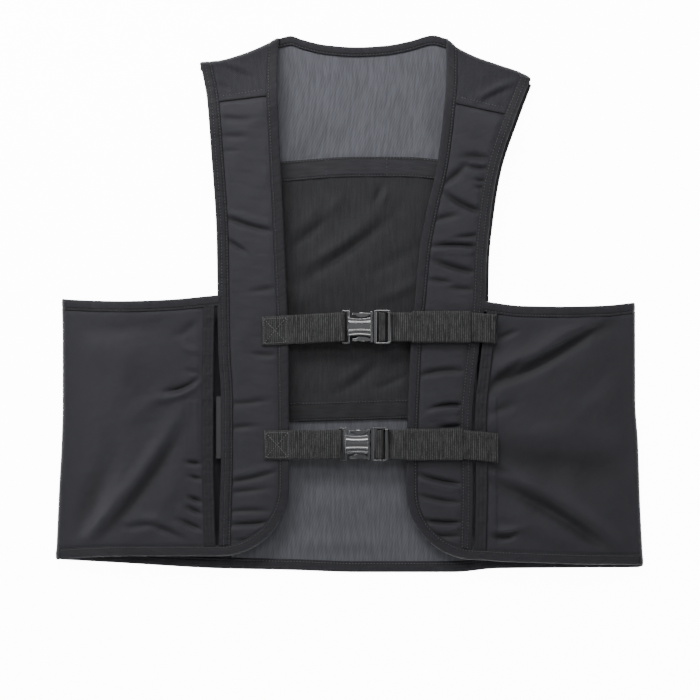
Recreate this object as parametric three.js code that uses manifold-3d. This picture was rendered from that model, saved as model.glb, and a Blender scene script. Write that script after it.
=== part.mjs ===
// A cooling vest of dark stretch cloth and mesh, laid flat on its back with its front facing up.
// A long front panel hangs from a mesh yoke on each side, a stretch wing wraps round each side to
// the mesh back, bindings edge the cloth, and two webbing straps with side-release buckles close
// the front. The body hollow between the front and the back is open at neck, arms and waist.
// Millimetres. The origin is the middle of the vest on the surface that it lies on: +X is to the
// right as seen from above, +Y towards the shoulders, +Z up. Left and right are as seen from above.
import * as THREE from "three";
import { mergeVertices } from "three/addons/utils/BufferGeometryUtils.js";
import Module from "manifold-3d";

const wasm = await Module();
wasm.setup();

// Sizes of the whole vest
const vestWidth = 610;
const vestLength = 560;

// Cloth, bindings and bands
const clothThickness = 1.2;
const bindingThickness = 2.4;
const bandThickness = 1.6;
const frontBindingWidth = 11.4;
const armBindingWidth = 12.4;
const wingBindingWidth = 11.6;
const neckBindingWidth = 10.2;
const hemBindingWidth = 11.4;
const slitBandWidth = 12;
const cornerRadius = 72;
const seamGap = 0.4;
const hiddenGap = 1.2;

// How high the front lies over the back
const foldHeight = 9;
const frontRise = 8;
const riseLength = 70;
const shoulderLap = 4;

// Pocket on the inside of the back, and the closing tape in the left slit
const pocketLift = 0.3;
const pocketPuff = 1.6;
const pocketTopBand = 21;
const pocketLowerBand = 19.5;
const tapeWidth = 10;
const tapeLength = 64;
const tapeThickness = 1;
const tapeShowing = 5;

// Webbing, keepers and buckles
const webbingWidth = 30;
const webbingThickness = 1.4;
const strapClearance = 0.5;
const webbingGap = 0.3;
const keeperWall = 1;
const keeperSlack = 0.4;
const tailFoldLength = 5;
const foldBackLength = 15;
const housingEndWidth = 34.6;
const housingLength = 32;
const bridgeWidth = 20;
const bridgeWaist = 2;
const plateThickness = 1.9;
const cavityHeight = 4.6;
const barLength = 2.4;
const barHeight = 2;
const slotLength = 3.8;
const collarLength = 2.4;
const collarWall = 1.3;
const frameLength = 19;
const frameWidth = 35.4;
const frameHeight = 5;
const railWidth = 2;
const ladderSlotLength = 3.4;
const ladderBarLength = 4.8;
const ladderBarHeight = 2.8;
const endBarLength = 3.4;
const endBarHeight = 3.6;
const armThickness = 3.6;
const armWidth = 3;
const buttonWidth = 3.4;
const pegClearance = 0.4;

// How finely the cloth is divided
const foldSteps = 6;
const bindingStep = 15;
const hemStep = 24;
const arcSteps = 8;
const neckSteps = 12;

// Outlines: `up` is a share of the length from the lowest hem, `across` of half the width
const outlines = {
  left: {
    side: -1,
    frontEdge: [
      { up: 0.991, across: -0.241 }, { up: 0.91, across: -0.245 },
      { up: 0.798, across: -0.237 }, { up: 0.619, across: -0.221 },
      { up: 0.391, across: -0.206 }, { up: 0.203, across: -0.204 },
      { up: 0.033, across: -0.207 },
    ],
    sideEdge: [
      { up: 0.946, across: -0.509 }, { up: 0.873, across: -0.483 },
      { up: 0.781, across: -0.469 }, { up: 0.619, across: -0.45 },
      { up: 0.512, across: -0.447 }, { up: 0.413, across: -0.444 },
      { up: 0.32, across: -0.435 }, { up: 0.21, across: -0.435 },
      { up: 0.136, across: -0.439 }, { up: 0.033, across: -0.443 },
    ],
    slitEdge: [
      { up: 0.523, across: -0.454 }, { up: 0.431, across: -0.458 },
      { up: 0.317, across: -0.46 }, { up: 0.21, across: -0.46 },
      { up: 0.136, across: -0.457 }, { up: 0.044, across: -0.452 },
    ],
    foldEdge: [
      { up: 0.508, across: -0.98 }, { up: 0.424, across: -0.977 },
      { up: 0.313, across: -0.977 }, { up: 0.247, across: -0.98 },
      { up: 0.155, across: -0.989 }, { up: 0.024, across: -1 },
    ],
    backArm: [
      { up: 0.946, across: -0.506 }, { up: 0.873, across: -0.479 },
      { up: 0.781, across: -0.465 }, { up: 0.619, across: -0.447 },
      { up: 0.512, across: -0.443 }, { up: 0.002, across: -0.443 },
    ],
    shoulder: [
      { up: 0.947, across: -0.509 }, { up: 0.949, across: -0.452 },
      { up: 0.961, across: -0.368 }, { up: 0.979, across: -0.287 },
      { up: 0.993, across: -0.241 },
    ],
    yokeSeam: [
      { up: 0.867, across: -0.509 }, { up: 0.87, across: -0.452 },
      { up: 0.88, across: -0.288 }, { up: 0.884, across: -0.201 },
    ],
    wingTop: [
      { up: 0.508, across: -0.981 }, { up: 0.506, across: -0.943 },
      { up: 0.503, across: -0.771 }, { up: 0.505, across: -0.633 },
      { up: 0.514, across: -0.445 },
    ],
    frontHem: [
      { up: 0.025, across: -0.999 }, { up: 0.03, across: -0.878 },
      { up: 0.033, across: -0.75 }, { up: 0.033, across: -0.201 },
    ],
  },
  right: {
    side: 1,
    frontEdge: [
      { up: 0.984, across: 0.329 }, { up: 0.921, across: 0.328 },
      { up: 0.851, across: 0.318 }, { up: 0.753, across: 0.295 },
      { up: 0.673, across: 0.262 }, { up: 0.597, across: 0.236 },
      { up: 0.529, across: 0.224 }, { up: 0.391, across: 0.203 },
      { up: 0.203, across: 0.192 }, { up: 0.033, across: 0.192 },
    ],
    sideEdge: [
      { up: 0.914, across: 0.615 }, { up: 0.846, across: 0.564 },
      { up: 0.744, across: 0.502 }, { up: 0.663, across: 0.477 },
      { up: 0.575, across: 0.463 }, { up: 0.501, across: 0.458 },
      { up: 0.411, across: 0.437 }, { up: 0.276, across: 0.415 },
      { up: 0.166, across: 0.419 }, { up: 0.033, across: 0.414 },
    ],
    slitEdge: [
      { up: 0.501, across: 0.468 }, { up: 0.411, across: 0.445 },
      { up: 0.276, across: 0.423 }, { up: 0.166, across: 0.427 },
      { up: 0.033, across: 0.422 },
    ],
    foldEdge: [
      { up: 0.501, across: 0.972 }, { up: 0.317, across: 0.973 },
      { up: 0.241, across: 0.982 }, { up: 0.129, across: 0.989 },
      { up: 0.013, across: 1 },
    ],
    backArm: [
      { up: 0.914, across: 0.627 }, { up: 0.844, across: 0.578 },
      { up: 0.744, across: 0.517 }, { up: 0.663, across: 0.492 },
      { up: 0.575, across: 0.476 }, { up: 0.501, across: 0.474 },
      { up: 0.002, across: 0.474 },
    ],
    shoulder: [
      { up: 0.991, across: 0.329 }, { up: 0.977, across: 0.357 },
      { up: 0.957, across: 0.427 }, { up: 0.942, across: 0.505 },
      { up: 0.926, across: 0.59 }, { up: 0.916, across: 0.622 },
    ],
    yokeSeam: [
      { up: 0.872, across: 0.306 }, { up: 0.866, across: 0.362 },
      { up: 0.848, across: 0.52 }, { up: 0.842, across: 0.576 },
    ],
    wingTop: [
      { up: 0.503, across: 0.458 }, { up: 0.494, across: 0.589 },
      { up: 0.493, across: 0.727 }, { up: 0.495, across: 0.863 },
      { up: 0.501, across: 0.972 },
    ],
    frontHem: [
      { up: 0.027, across: 0.191 }, { up: 0.026, across: 0.434 },
      { up: 0.023, across: 0.519 }, { up: 0.017, across: 0.847 },
      { up: 0.015, across: 0.998 },
    ],
  },
};
const neckline = [
  { up: 0.991, across: -0.241 }, { up: 0.996, across: -0.201 },
  { up: 0.989, across: -0.161 }, { up: 0.979, across: -0.08 },
  { up: 0.975, across: 0.022 }, { up: 0.978, across: 0.123 },
  { up: 0.986, across: 0.204 }, { up: 0.997, across: 0.285 },
  { up: 0.991, across: 0.329 },
];
const backHem = [
  { up: 0.024, across: -1 }, { up: 0.017, across: -0.771 },
  { up: 0.007, across: -0.446 }, { up: 0.004, across: -0.201 },
  { up: 0, across: 0.035 }, { up: 0, across: 0.353 },
  { up: 0.007, across: 0.508 }, { up: 0.009, across: 1 },
];
const pocketTop = [
  { up: 0.755, across: -0.384 }, { up: 0.762, across: -0.232 },
  { up: 0.771, across: 0.032 }, { up: 0.771, across: 0.17 },
  { up: 0.761, across: 0.387 },
];
const pocketBottom = [
  { up: 0.278, across: -0.384 }, { up: 0.28, across: -0.205 },
  { up: 0.286, across: 0.191 }, { up: 0.289, across: 0.387 },
];

// Folds: place and size as shares of the outline's sizes, `turn` in degrees from +X, and `high`
// a share of the fold depth of the cloth they are in, negative for a valley
const wingFoldDepth = 4;
const panelFoldDepth = 1.8;
const pocketFoldDepth = 1.4;
const folds = {
  leftWing: [
    { across: -0.7, up: 0.19, turn: 52, long: 0.36, wide: 0.055, high: 0.9 },
    { across: -0.62, up: 0.17, turn: 54, long: 0.3, wide: 0.04, high: -0.8 },
    { across: -0.85, up: 0.12, turn: 58, long: 0.26, wide: 0.05, high: 0.6 },
    { across: -0.56, up: 0.34, turn: 16, long: 0.12, wide: 0.03, high: -0.5 },
    { across: -0.78, up: 0.4, turn: -8, long: 0.3, wide: 0.08, high: 0.4 },
    { across: -0.56, up: 0.1, turn: -38, long: 0.12, wide: 0.03, high: -0.5 },
  ],
  rightWing: [
    { across: 0.68, up: 0.39, turn: 29, long: 0.3, wide: 0.04, high: -1 },
    { across: 0.72, up: 0.43, turn: 27, long: 0.26, wide: 0.05, high: 0.7 },
    { across: 0.72, up: 0.2, turn: -6, long: 0.34, wide: 0.05, high: -0.6 },
    { across: 0.7, up: 0.115, turn: -28, long: 0.3, wide: 0.035, high: -0.7 },
    { across: 0.66, up: 0.15, turn: -24, long: 0.26, wide: 0.05, high: 0.5 },
    { across: 0.54, up: 0.07, turn: -12, long: 0.07, wide: 0.025, high: -0.5 },
  ],
  leftPanel: [
    { across: -0.33, up: 0.835, turn: -4, long: 0.1, wide: 0.03, high: -0.5 },
    { across: -0.34, up: 0.64, turn: -16, long: 0.1, wide: 0.026, high: -1 },
    { across: -0.36, up: 0.6, turn: -34, long: 0.06, wide: 0.026, high: -0.7 },
    { across: -0.3, up: 0.4, turn: 4, long: 0.08, wide: 0.03, high: -0.5 },
    { across: -0.33, up: 0.27, turn: 6, long: 0.1, wide: 0.03, high: -0.6 },
    { across: -0.34, up: 0.17, turn: 12, long: 0.1, wide: 0.026, high: -0.8 },
    { across: -0.33, up: 0.092, turn: 2, long: 0.1, wide: 0.026, high: -1 },
  ],
  rightPanel: [
    { across: 0.42, up: 0.81, turn: 30, long: 0.08, wide: 0.03, high: -0.6 },
    { across: 0.4, up: 0.725, turn: -22, long: 0.09, wide: 0.028, high: -0.9 },
    { across: 0.39, up: 0.67, turn: -16, long: 0.09, wide: 0.028, high: -0.8 },
    { across: 0.36, up: 0.605, turn: 4, long: 0.1, wide: 0.026, high: -1 },
    { across: 0.35, up: 0.565, turn: -10, long: 0.09, wide: 0.026, high: -0.7 },
    { across: 0.31, up: 0.38, turn: -8, long: 0.1, wide: 0.028, high: -0.8 },
    { across: 0.33, up: 0.31, turn: 4, long: 0.08, wide: 0.026, high: -1 },
    { across: 0.31, up: 0.175, turn: -10, long: 0.09, wide: 0.026, high: -1 },
    { across: 0.31, up: 0.135, turn: -14, long: 0.09, wide: 0.026, high: -0.9 },
    { across: 0.32, up: 0.095, turn: -8, long: 0.08, wide: 0.026, high: -1 },
  ],
  pocket: [
    { across: -0.14, up: 0.62, turn: 52, long: 0.22, wide: 0.03, high: -1 },
    { across: -0.05, up: 0.63, turn: 50, long: 0.22, wide: 0.05, high: 0.8 },
    { across: 0.03, up: 0.6, turn: 34, long: 0.3, wide: 0.04, high: -0.7 },
    { across: 0.08, up: 0.54, turn: 30, long: 0.3, wide: 0.05, high: 0.7 },
    { across: 0.1, up: 0.47, turn: 26, long: 0.3, wide: 0.045, high: -0.8 },
    { across: 0.1, up: 0.38, turn: 40, long: 0.16, wide: 0.04, high: -0.6 },
  ],
};

// Straps: places across and up as shares, the turns of the webbing in its plane in degrees
const straps = [
  {
    name: "upper", up: 0.455, buckle: 0.078, leftEnd: -0.296, leftTurn: 3.2, sewn: 0.27,
    keeperStart: 0.211, keeperEnd: 0.407, tailEnd: 0.492, tailTurn: -5,
  },
  {
    name: "lower", up: 0.2395, buckle: 0.069, leftEnd: -0.289, leftTurn: 0.7, sewn: 0.27,
    keeperStart: 0.191, keeperEnd: 0.38, tailEnd: 0.498, tailTurn: -6,
  },
];

const halfWidth = vestWidth / 2;
const radians = THREE.MathUtils.degToRad;
const { lerp, clamp, smoothstep } = THREE.MathUtils;
const X = (across) => across * halfWidth;
const Y = (up) => (up - 0.5) * vestLength;

// Heights of the cloth's middle
const backMiddle = clothThickness / 2;
const backBindingMiddle = bindingThickness / 2;
const foldTop = foldHeight - clothThickness / 2;
const frontMiddle = foldTop + frontRise;
const strapBottom = frontMiddle + bindingThickness / 2 + strapClearance;
const strapMiddle = strapBottom + webbingThickness / 2;
const buckleMiddle = strapMiddle + 1;

// A smooth curve through the rows of a table that doesn't overshoot them, flat past its ends
function curveThrough(rows, from, to) {
  const points = rows.map((row) => [from(row), to(row)]).sort((a, b) => a[0] - b[0]);
  const at = points.map((point) => point[0]);
  const value = points.map((point) => point[1]);
  const slope = at.slice(1).map((end, i) => (value[i + 1] - value[i]) / (end - at[i]));
  const tangent = at.map((_, i) => {
    if (i === 0) return slope[0];
    if (i === slope.length) return slope[i - 1];
    const [before, after] = [slope[i - 1], slope[i]];
    return before * after <= 0 ? 0 : (2 * before * after) / (before + after);
  });
  return (place) => {
    const p = clamp(place, at[0], at[at.length - 1]);
    const i = clamp(at.findIndex((end) => end > p) - 1, 0, slope.length - 1);
    const index = p >= at[at.length - 1] ? slope.length - 1 : i;
    const span = at[index + 1] - at[index];
    const t = (p - at[index]) / span;
    const rise = value[index + 1] - value[index];
    const ease = t * t * (3 - 2 * t);
    const lean = tangent[index] * t * (1 - t) ** 2 - tangent[index + 1] * t * t * (1 - t);
    return value[index] + rise * ease + span * lean;
  };
}

const acrossAt = (rows) => curveThrough(rows, (row) => Y(row.up), (row) => X(row.across));
const upAt = (rows) => curveThrough(rows, (row) => X(row.across), (row) => Y(row.up));

const neckTop = upAt(neckline);
const backHemAt = upAt(backHem);
const pocketTopAt = upAt(pocketTop);
const pocketBottomAt = upAt(pocketBottom);

// One side of the vest, with its outlines as functions in millimetres
function sideOf(name) {
  const outline = outlines[name];
  const { side } = outline;
  const one = {
    name,
    side,
    frontEdge: acrossAt(outline.frontEdge),
    sideEdge: acrossAt(outline.sideEdge),
    slitEdge: acrossAt(outline.slitEdge),
    foldEdge: acrossAt(outline.foldEdge),
    backArm: acrossAt(outline.backArm),
    shoulder: upAt(outline.shoulder),
    yokeSeam: upAt(outline.yokeSeam),
    wingTop: upAt(outline.wingTop),
    frontHem: upAt(outline.frontHem),
    neckX: X(outline.frontEdge[0].across),
  };
  // The rounded lower corner runs from the front edge into the hem
  let cornerY = Y(0) + cornerRadius;
  let cornerX = one.neckX;
  for (let pass = 0; pass < 4; pass += 1) {
    cornerX = one.frontEdge(cornerY) + side * cornerRadius;
    cornerY = one.frontHem(cornerX) + cornerRadius;
  }
  one.corner = new THREE.Vector2(cornerX, cornerY);
  return one;
}

const left = sideOf("left");
const right = sideOf("right");

// How far a fold's middle line lies inside its outermost point, for a wall of that thickness
const foldRadius = (thickness, backHeight) => (foldTop - backHeight) / 2 + thickness / 2;
const clothFold = foldRadius(clothThickness, backMiddle);

// The height of the front's middle, which rises from the folded sides and shoulders
function frontHeight(one, x, y) {
  const fromSide = one.side * (one.foldEdge(y) - x) - clothFold;
  const fromShoulder = one.shoulder(x) - clothFold - y;
  const sideShare = smoothstep(fromSide / riseLength, 0, 1);
  const shoulderShare = smoothstep(fromShoulder / riseLength, 0, 1);
  return foldTop + frontRise * sideShare * shoulderShare;
}

// The sum of the folds of a table at a place
function foldsAt(rows, depth, x, y) {
  return rows.reduce((sum, row) => {
    const turn = radians(row.turn);
    const [dx, dy] = [x - X(row.across), y - Y(row.up)];
    const along = (dx * Math.cos(turn) + dy * Math.sin(turn)) / X(row.long);
    const beside = (dy * Math.cos(turn) - dx * Math.sin(turn)) / X(row.wide);
    return sum + depth * row.high * Math.exp(-beside * beside - 4 * along ** 4);
  }, 0);
}

// 0 at the edge of a piece and 1 from `within` on, so that folds fade out at the seams
const fadeFrom = (distance, within) => smoothstep(distance / within, 0, 1);

const shares = (count) => Array.from({ length: count + 1 }, (_, i) => i / count);

// A closed wall of even thickness whose middle runs through a grid of points
function wallGeometry(grid, thickness) {
  const rows = grid.length;
  const columns = grid[0].length;
  const pointAt = (r, c) => grid[clamp(r, 0, rows - 1)][clamp(c, 0, columns - 1)];
  const place = [];
  const faces = [];
  for (const half of [thickness / 2, -thickness / 2]) {
    for (let r = 0; r < rows; r += 1) {
      for (let c = 0; c < columns; c += 1) {
        const along = pointAt(r + 1, c).clone().sub(pointAt(r - 1, c));
        const across = pointAt(r, c + 1).clone().sub(pointAt(r, c - 1));
        const normal = across.cross(along).normalize();
        place.push(...pointAt(r, c).clone().addScaledVector(normal, half).toArray());
      }
    }
  }
  const index = (layer, r, c) => layer * rows * columns + r * columns + c;
  const quad = (a, b, c, d) => faces.push(a, b, c, a, c, d);
  for (let r = 0; r < rows - 1; r += 1) {
    for (let c = 0; c < columns - 1; c += 1) {
      quad(index(0, r, c), index(0, r, c + 1), index(0, r + 1, c + 1), index(0, r + 1, c));
      quad(index(1, r, c), index(1, r + 1, c), index(1, r + 1, c + 1), index(1, r, c + 1));
    }
  }
  const last = { r: rows - 1, c: columns - 1 };
  for (let c = 0; c < columns - 1; c += 1) {
    quad(index(0, 0, c), index(1, 0, c), index(1, 0, c + 1), index(0, 0, c + 1));
    quad(index(0, last.r, c + 1), index(1, last.r, c + 1), index(1, last.r, c), index(0, last.r, c));
  }
  for (let r = 0; r < rows - 1; r += 1) {
    quad(index(0, r + 1, 0), index(1, r + 1, 0), index(1, r, 0), index(0, r, 0));
    quad(index(0, r, last.c), index(1, r, last.c), index(1, r + 1, last.c), index(0, r + 1, last.c));
  }
  const geometry = new THREE.BufferGeometry();
  geometry.setAttribute("position", new THREE.Float32BufferAttribute(place, 3));
  geometry.setIndex(faces);
  return geometry;
}

// Colours and finishes
const finish = (color, roughness) =>
  new THREE.MeshStandardMaterial({ color, roughness, metalness: 0 });
const stretchCloth = finish(0x35353a, 0.75);
const meshCloth = finish(0x5a5b60, 0.85);
const pocketMesh = finish(0x2c2c2f, 0.9);
const bindingTape = finish(0x303035, 0.8);
const closingTape = finish(0x4a4a4c, 0.9);
const webbingWeave = finish(0x2f2e2c, 0.85);
const glossPlastic = finish(0x17181b, 0.25);

const vest = new THREE.Group();

function addPiece(name, geometry, material, parent = vest) {
  const mesh = new THREE.Mesh(geometry, material);
  mesh.name = name;
  parent.add(mesh);
  return mesh;
}

const addCloth = (name, grid, thickness, material) =>
  addPiece(name, wallGeometry(grid, thickness), material);

// The lowest place that cloth or a binding may reach on the front: just above the hem binding
function aboveHem(one, x) {
  const inside = one.side * (one.corner.x - x);
  const inner = cornerRadius - frontBindingWidth - seamGap;
  if (inside <= 0) return one.frontHem(x) + frontBindingWidth + seamGap;
  return one.corner.y - Math.sqrt(Math.max(inner * inner - inside * inside, 0));
}

// Steps over the shoulder fold, from the front round to the back end, as angle and lap
const shoulderSteps = [
  ...shares(foldSteps).slice(1).map((share) => ({ angle: Math.PI * share, lap: 0 })),
  { angle: Math.PI, lap: shoulderLap },
];

// A place on the shoulder fold, for a wall whose middle lies at `backHeight` on the back
function overShoulder(one, x, thickness, backHeight, step) {
  const reach = foldRadius(thickness, backHeight);
  const radius = reach - thickness / 2;
  const y = one.shoulder(x) - reach + radius * Math.sin(step.angle) - step.lap;
  return new THREE.Vector3(x, y, backHeight + radius * (1 + Math.cos(step.angle)));
}

// The mesh yoke runs from its seam on the front up over the shoulder fold to the back
function yokeGrid(one) {
  const columns = 5;
  const rows = 4;
  const neckSide = (y) => one.frontEdge(y) + one.side * (frontBindingWidth + hiddenGap);
  const armSide = (y) => one.sideEdge(y) - one.side * (armBindingWidth + hiddenGap);
  const xAt = (u, y) => lerp(neckSide(y), armSide(y), u);
  const topOf = (x) => one.shoulder(x) - clothFold;
  const front = shares(rows).map((v) =>
    shares(columns).map((u) => {
      let y = lerp(one.yokeSeam(xAt(u, 0)), topOf(xAt(u, 0)), v);
      let x = xAt(u, y);
      for (let pass = 0; pass < 3; pass += 1) {
        y = lerp(one.yokeSeam(x) + seamGap / 2, topOf(x), v);
        x = xAt(u, y);
      }
      return new THREE.Vector3(x, y, frontHeight(one, x, y));
    }),
  );
  const top = front[rows];
  const round = shoulderSteps.map((step) =>
    top.map((point) => overShoulder(one, point.x, clothThickness, backMiddle, step)),
  );
  return [...front, ...round];
}

// The long front panel, from the yoke seam down to the rounded corner, with its cross creases
function panelGrid(one, rows) {
  const columns = 5;
  const steps = 44;
  const tipWidth = 5;
  const inner = cornerRadius - frontBindingWidth - seamGap;
  const armSide = (y) => one.sideEdge(y) - one.side * (armBindingWidth + seamGap);
  const tip = one.side * (one.corner.x - armSide(one.corner.y - inner)) + tipWidth;
  const bottom = one.corner.y - Math.sqrt(inner * inner - tip * tip);
  const frontSide = (y) => {
    const below = one.corner.y - y;
    const straight = one.frontEdge(y) + one.side * (frontBindingWidth + seamGap);
    if (below <= 0) return straight;
    return one.corner.x - one.side * Math.sqrt(Math.max(inner * inner - below * below, 0));
  };
  return shares(steps).map((v) =>
    shares(columns).map((u) => {
      let y = lerp(bottom, one.yokeSeam(one.sideEdge(0)), v);
      let x = lerp(frontSide(y), armSide(y), u);
      for (let pass = 0; pass < 3; pass += 1) {
        y = lerp(bottom, one.yokeSeam(x) - seamGap / 2, v);
        x = lerp(frontSide(y), armSide(y), u);
      }
      const width = Math.abs(armSide(y) - frontSide(y));
      const fade = fadeFrom(width * Math.min(u, 1 - u), frontBindingWidth / 2);
      const crease = foldsAt(rows, panelFoldDepth, x, y) * fade;
      return new THREE.Vector3(x, y, frontHeight(one, x, y) + crease);
    }),
  );
}

const evenly = (from, to, step) => {
  const count = Math.max(1, Math.round(Math.abs(to - from) / step));
  return shares(count).map((share) => lerp(from, to, share));
};

const onFront = (one, x, y) => new THREE.Vector3(x, y, frontHeight(one, x, y));

// The binding along the front edge: over the shoulder, down the edge, round the corner, along the hem
function frontBindingGrid(one) {
  const inward = one.side * frontBindingWidth;
  const reach = foldRadius(bindingThickness, backBindingMiddle);
  const pair = (outer, inner) => [outer, inner];
  const shoulderX = one.neckX;
  const over = shoulderSteps
    .map((step) =>
      [shoulderX, shoulderX + inward].map((x) =>
        overShoulder(one, x, bindingThickness, backBindingMiddle, step),
      ),
    )
    .reverse();
  const startOf = (x) => one.shoulder(x) - reach;
  const count = Math.round((startOf(shoulderX) - one.corner.y) / bindingStep);
  const edge = shares(count).map((v) =>
    [0, inward].map((offset) => {
      const y = lerp(startOf(shoulderX + offset), one.corner.y, v);
      return onFront(one, one.frontEdge(y) + offset, y);
    }),
  );
  const arc = shares(arcSteps).slice(1).map((share) => {
    const angle = (share * Math.PI) / 2;
    return [cornerRadius, cornerRadius - frontBindingWidth].map((radius) => {
      const x = one.corner.x - one.side * radius * Math.cos(angle);
      return onFront(one, x, one.corner.y - radius * Math.sin(angle));
    });
  });
  const hemEnd = one.foldEdge(Y(0)) - one.side * reach;
  const hem = evenly(one.corner.x, hemEnd, hemStep)
    .slice(1)
    .map((x) => {
      const y = one.frontHem(x);
      return pair(onFront(one, x, y), onFront(one, x, y + frontBindingWidth));
    });
  return [...over, ...edge, ...arc, ...hem];
}

// The binding of the armhole and of the panel's side: over the shoulder and down to the hem
function sideBindingGrid(one) {
  const reach = foldRadius(bindingThickness, backBindingMiddle);
  const shoulderY = Y(outlines[one.name].sideEdge[0].up);
  const offsets = [0, -one.side * armBindingWidth];
  const shoulderX = one.sideEdge(shoulderY);
  const over = shoulderSteps
    .map((step) =>
      offsets.map((offset) =>
        overShoulder(one, shoulderX + offset, bindingThickness, backBindingMiddle, step),
      ),
    )
    .reverse();
  const count = Math.round((shoulderY - Y(0)) / bindingStep);
  const edge = shares(count).map((v) =>
    offsets.map((offset) => {
      const topY = one.shoulder(shoulderX + offset) - reach;
      const bottomY = aboveHem(one, one.sideEdge(Y(0)) + offset);
      const y = lerp(topY, bottomY, v);
      return onFront(one, one.sideEdge(y) + offset, y);
    }),
  );
  return [...over, ...edge];
}

// The binding of the armhole on the back, from the shoulder down to the wing
function backArmGrid(one) {
  const reach = foldRadius(bindingThickness, backBindingMiddle);
  return shares(14).map((v) =>
    [0, -one.side * armBindingWidth].map((offset) => {
      const shoulderX = one.sideEdge(Y(outlines[one.name].sideEdge[0].up)) + offset;
      const topY = one.shoulder(shoulderX) - reach - shoulderLap - 2 * hiddenGap;
      const y = lerp(one.wingTop(one.backArm(0)) + hiddenGap, topY, v);
      return new THREE.Vector3(one.backArm(y) + offset, y, backBindingMiddle);
    }),
  );
}

// Stations across a wing: over the front to the side fold, round it, and back to the back seam
function wingStations(frontSteps, backSteps) {
  return [
    ...shares(frontSteps).map((share) => ({ part: "front", share })),
    ...shares(foldSteps).slice(1).map((share) => ({ part: "fold", share })),
    ...shares(backSteps).slice(1).map((share) => ({ part: "back", share })),
  ];
}

// A place on a wing's middle at a station, at height y, for a wall of that thickness
function onWing(one, station, y, startX, thickness, backHeight) {
  const reach = foldRadius(thickness, backHeight);
  const radius = reach - thickness / 2;
  const foldX = one.foldEdge(y) - one.side * reach;
  if (station.part === "front") {
    return onFront(one, lerp(startX(y), foldX, station.share), y);
  }
  if (station.part === "fold") {
    const angle = Math.PI * station.share;
    const x = foldX + one.side * radius * Math.sin(angle);
    return new THREE.Vector3(x, y, backHeight + radius * (1 + Math.cos(angle)));
  }
  const seamX = one.backArm(y) - one.side * (armBindingWidth - seamGap);
  return new THREE.Vector3(lerp(foldX, seamX, station.share), y, backHeight);
}

// The lower edge of wing cloth at a station: over the front hem, and over the back hem
function wingBottom(one, station, x) {
  const front = one.frontHem(x) + frontBindingWidth + seamGap;
  const back = backHemAt(x) + hemBindingWidth + hiddenGap;
  if (station.part === "front") return front;
  return station.part === "back" ? back : lerp(front, back, station.share);
}

// The stretch wing, folded round the side of the vest
function wingGrid(one, rows) {
  const steps = 12;
  const startX = (y) => one.slitEdge(y) + one.side * (slitBandWidth + seamGap);
  const columns = wingStations(10, 4).map((station) =>
    shares(steps).map((v) => {
      let point = onWing(one, station, 0, startX, clothThickness, backMiddle);
      for (let pass = 0; pass < 3; pass += 1) {
        const top = one.wingTop(point.x) - wingBindingWidth - seamGap;
        const y = lerp(wingBottom(one, station, point.x), top, v);
        point = onWing(one, station, y, startX, clothThickness, backMiddle);
      }
      if (station.part === "front") {
        const clear = riseLength / 2;
        const inner = fadeFrom(one.side * (point.x - startX(point.y)), slitBandWidth / 2);
        const outer = fadeFrom(one.side * (one.foldEdge(point.y) - point.x) - clothFold, clear);
        const ends = fadeFrom(Math.min(v, 1 - v), 0.12);
        point.z += foldsAt(rows, wingFoldDepth, point.x, point.y) * inner * outer * ends;
      }
      return point;
    }),
  );
  return columns[0].map((_, r) => columns.map((column) => column[r]));
}

// The binding along a wing's top edge, from the panel's side round the fold to the back seam
function wingTopGrid(one) {
  const startX = (y) => one.sideEdge(y) + one.side * seamGap;
  return wingStations(8, 5).map((station) =>
    [0, wingBindingWidth].map((drop) => {
      let point = onWing(one, station, 0, startX, bindingThickness, backBindingMiddle);
      for (let pass = 0; pass < 3; pass += 1) {
        const y = one.wingTop(point.x) - drop;
        point = onWing(one, station, y, startX, bindingThickness, backBindingMiddle);
      }
      return point;
    }),
  );
}

// The stitched band along the slit between a wing and the front panel
function slitBandGrid(one) {
  return shares(14).map((v) =>
    [0, one.side * slitBandWidth].map((offset) => {
      const x = one.slitEdge(0) + offset;
      const top = one.wingTop(x) - wingBindingWidth - seamGap;
      const y = lerp(aboveHem(one, one.slitEdge(Y(0)) + offset), top, v);
      return onFront(one, one.slitEdge(y) + offset, y);
    }),
  );
}

// The bound hem where it turns up round a side fold, from the front to the back
function hemTurnGrid(one) {
  const reach = foldRadius(bindingThickness, backBindingMiddle);
  const radius = reach - bindingThickness / 2;
  const foldX = one.foldEdge(Y(0)) - one.side * reach;
  const frontY = one.frontHem(one.foldEdge(Y(0)));
  const backY = backHemAt(one.foldEdge(Y(0)));
  return shares(foldSteps).map((share) => {
    const angle = Math.PI * share;
    const start = share === 0 ? one.side * seamGap : 0;
    return [0, lerp(frontBindingWidth, hemBindingWidth, share)].map((lift) => {
      const y = lerp(frontY, backY, share) + lift;
      const x = foldX + start + one.side * radius * Math.sin(angle);
      return new THREE.Vector3(x, y, backBindingMiddle + radius * (1 + Math.cos(angle)));
    });
  });
}

// The bound hem of the back, which lies flat between the two side folds
function backHemGrid() {
  const reach = foldRadius(bindingThickness, backBindingMiddle) + seamGap;
  const endX = (one) => one.foldEdge(Y(0)) - one.side * reach;
  return evenly(endX(left), endX(right), hemStep).map((x) =>
    [0, hemBindingWidth].map(
      (lift) => new THREE.Vector3(x, backHemAt(x) + lift, backBindingMiddle),
    ),
  );
}

// The binding of the back's neckline, between the two front bindings
function neckBindingGrid() {
  const [from, to] = [left.neckX + seamGap, right.neckX - seamGap];
  return shares(neckSteps).map((u) => lerp(from, to, u)).map((x) =>
    [0, neckBindingWidth].map(
      (drop) => new THREE.Vector3(x, neckTop(x) - drop, backBindingMiddle),
    ),
  );
}

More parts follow.
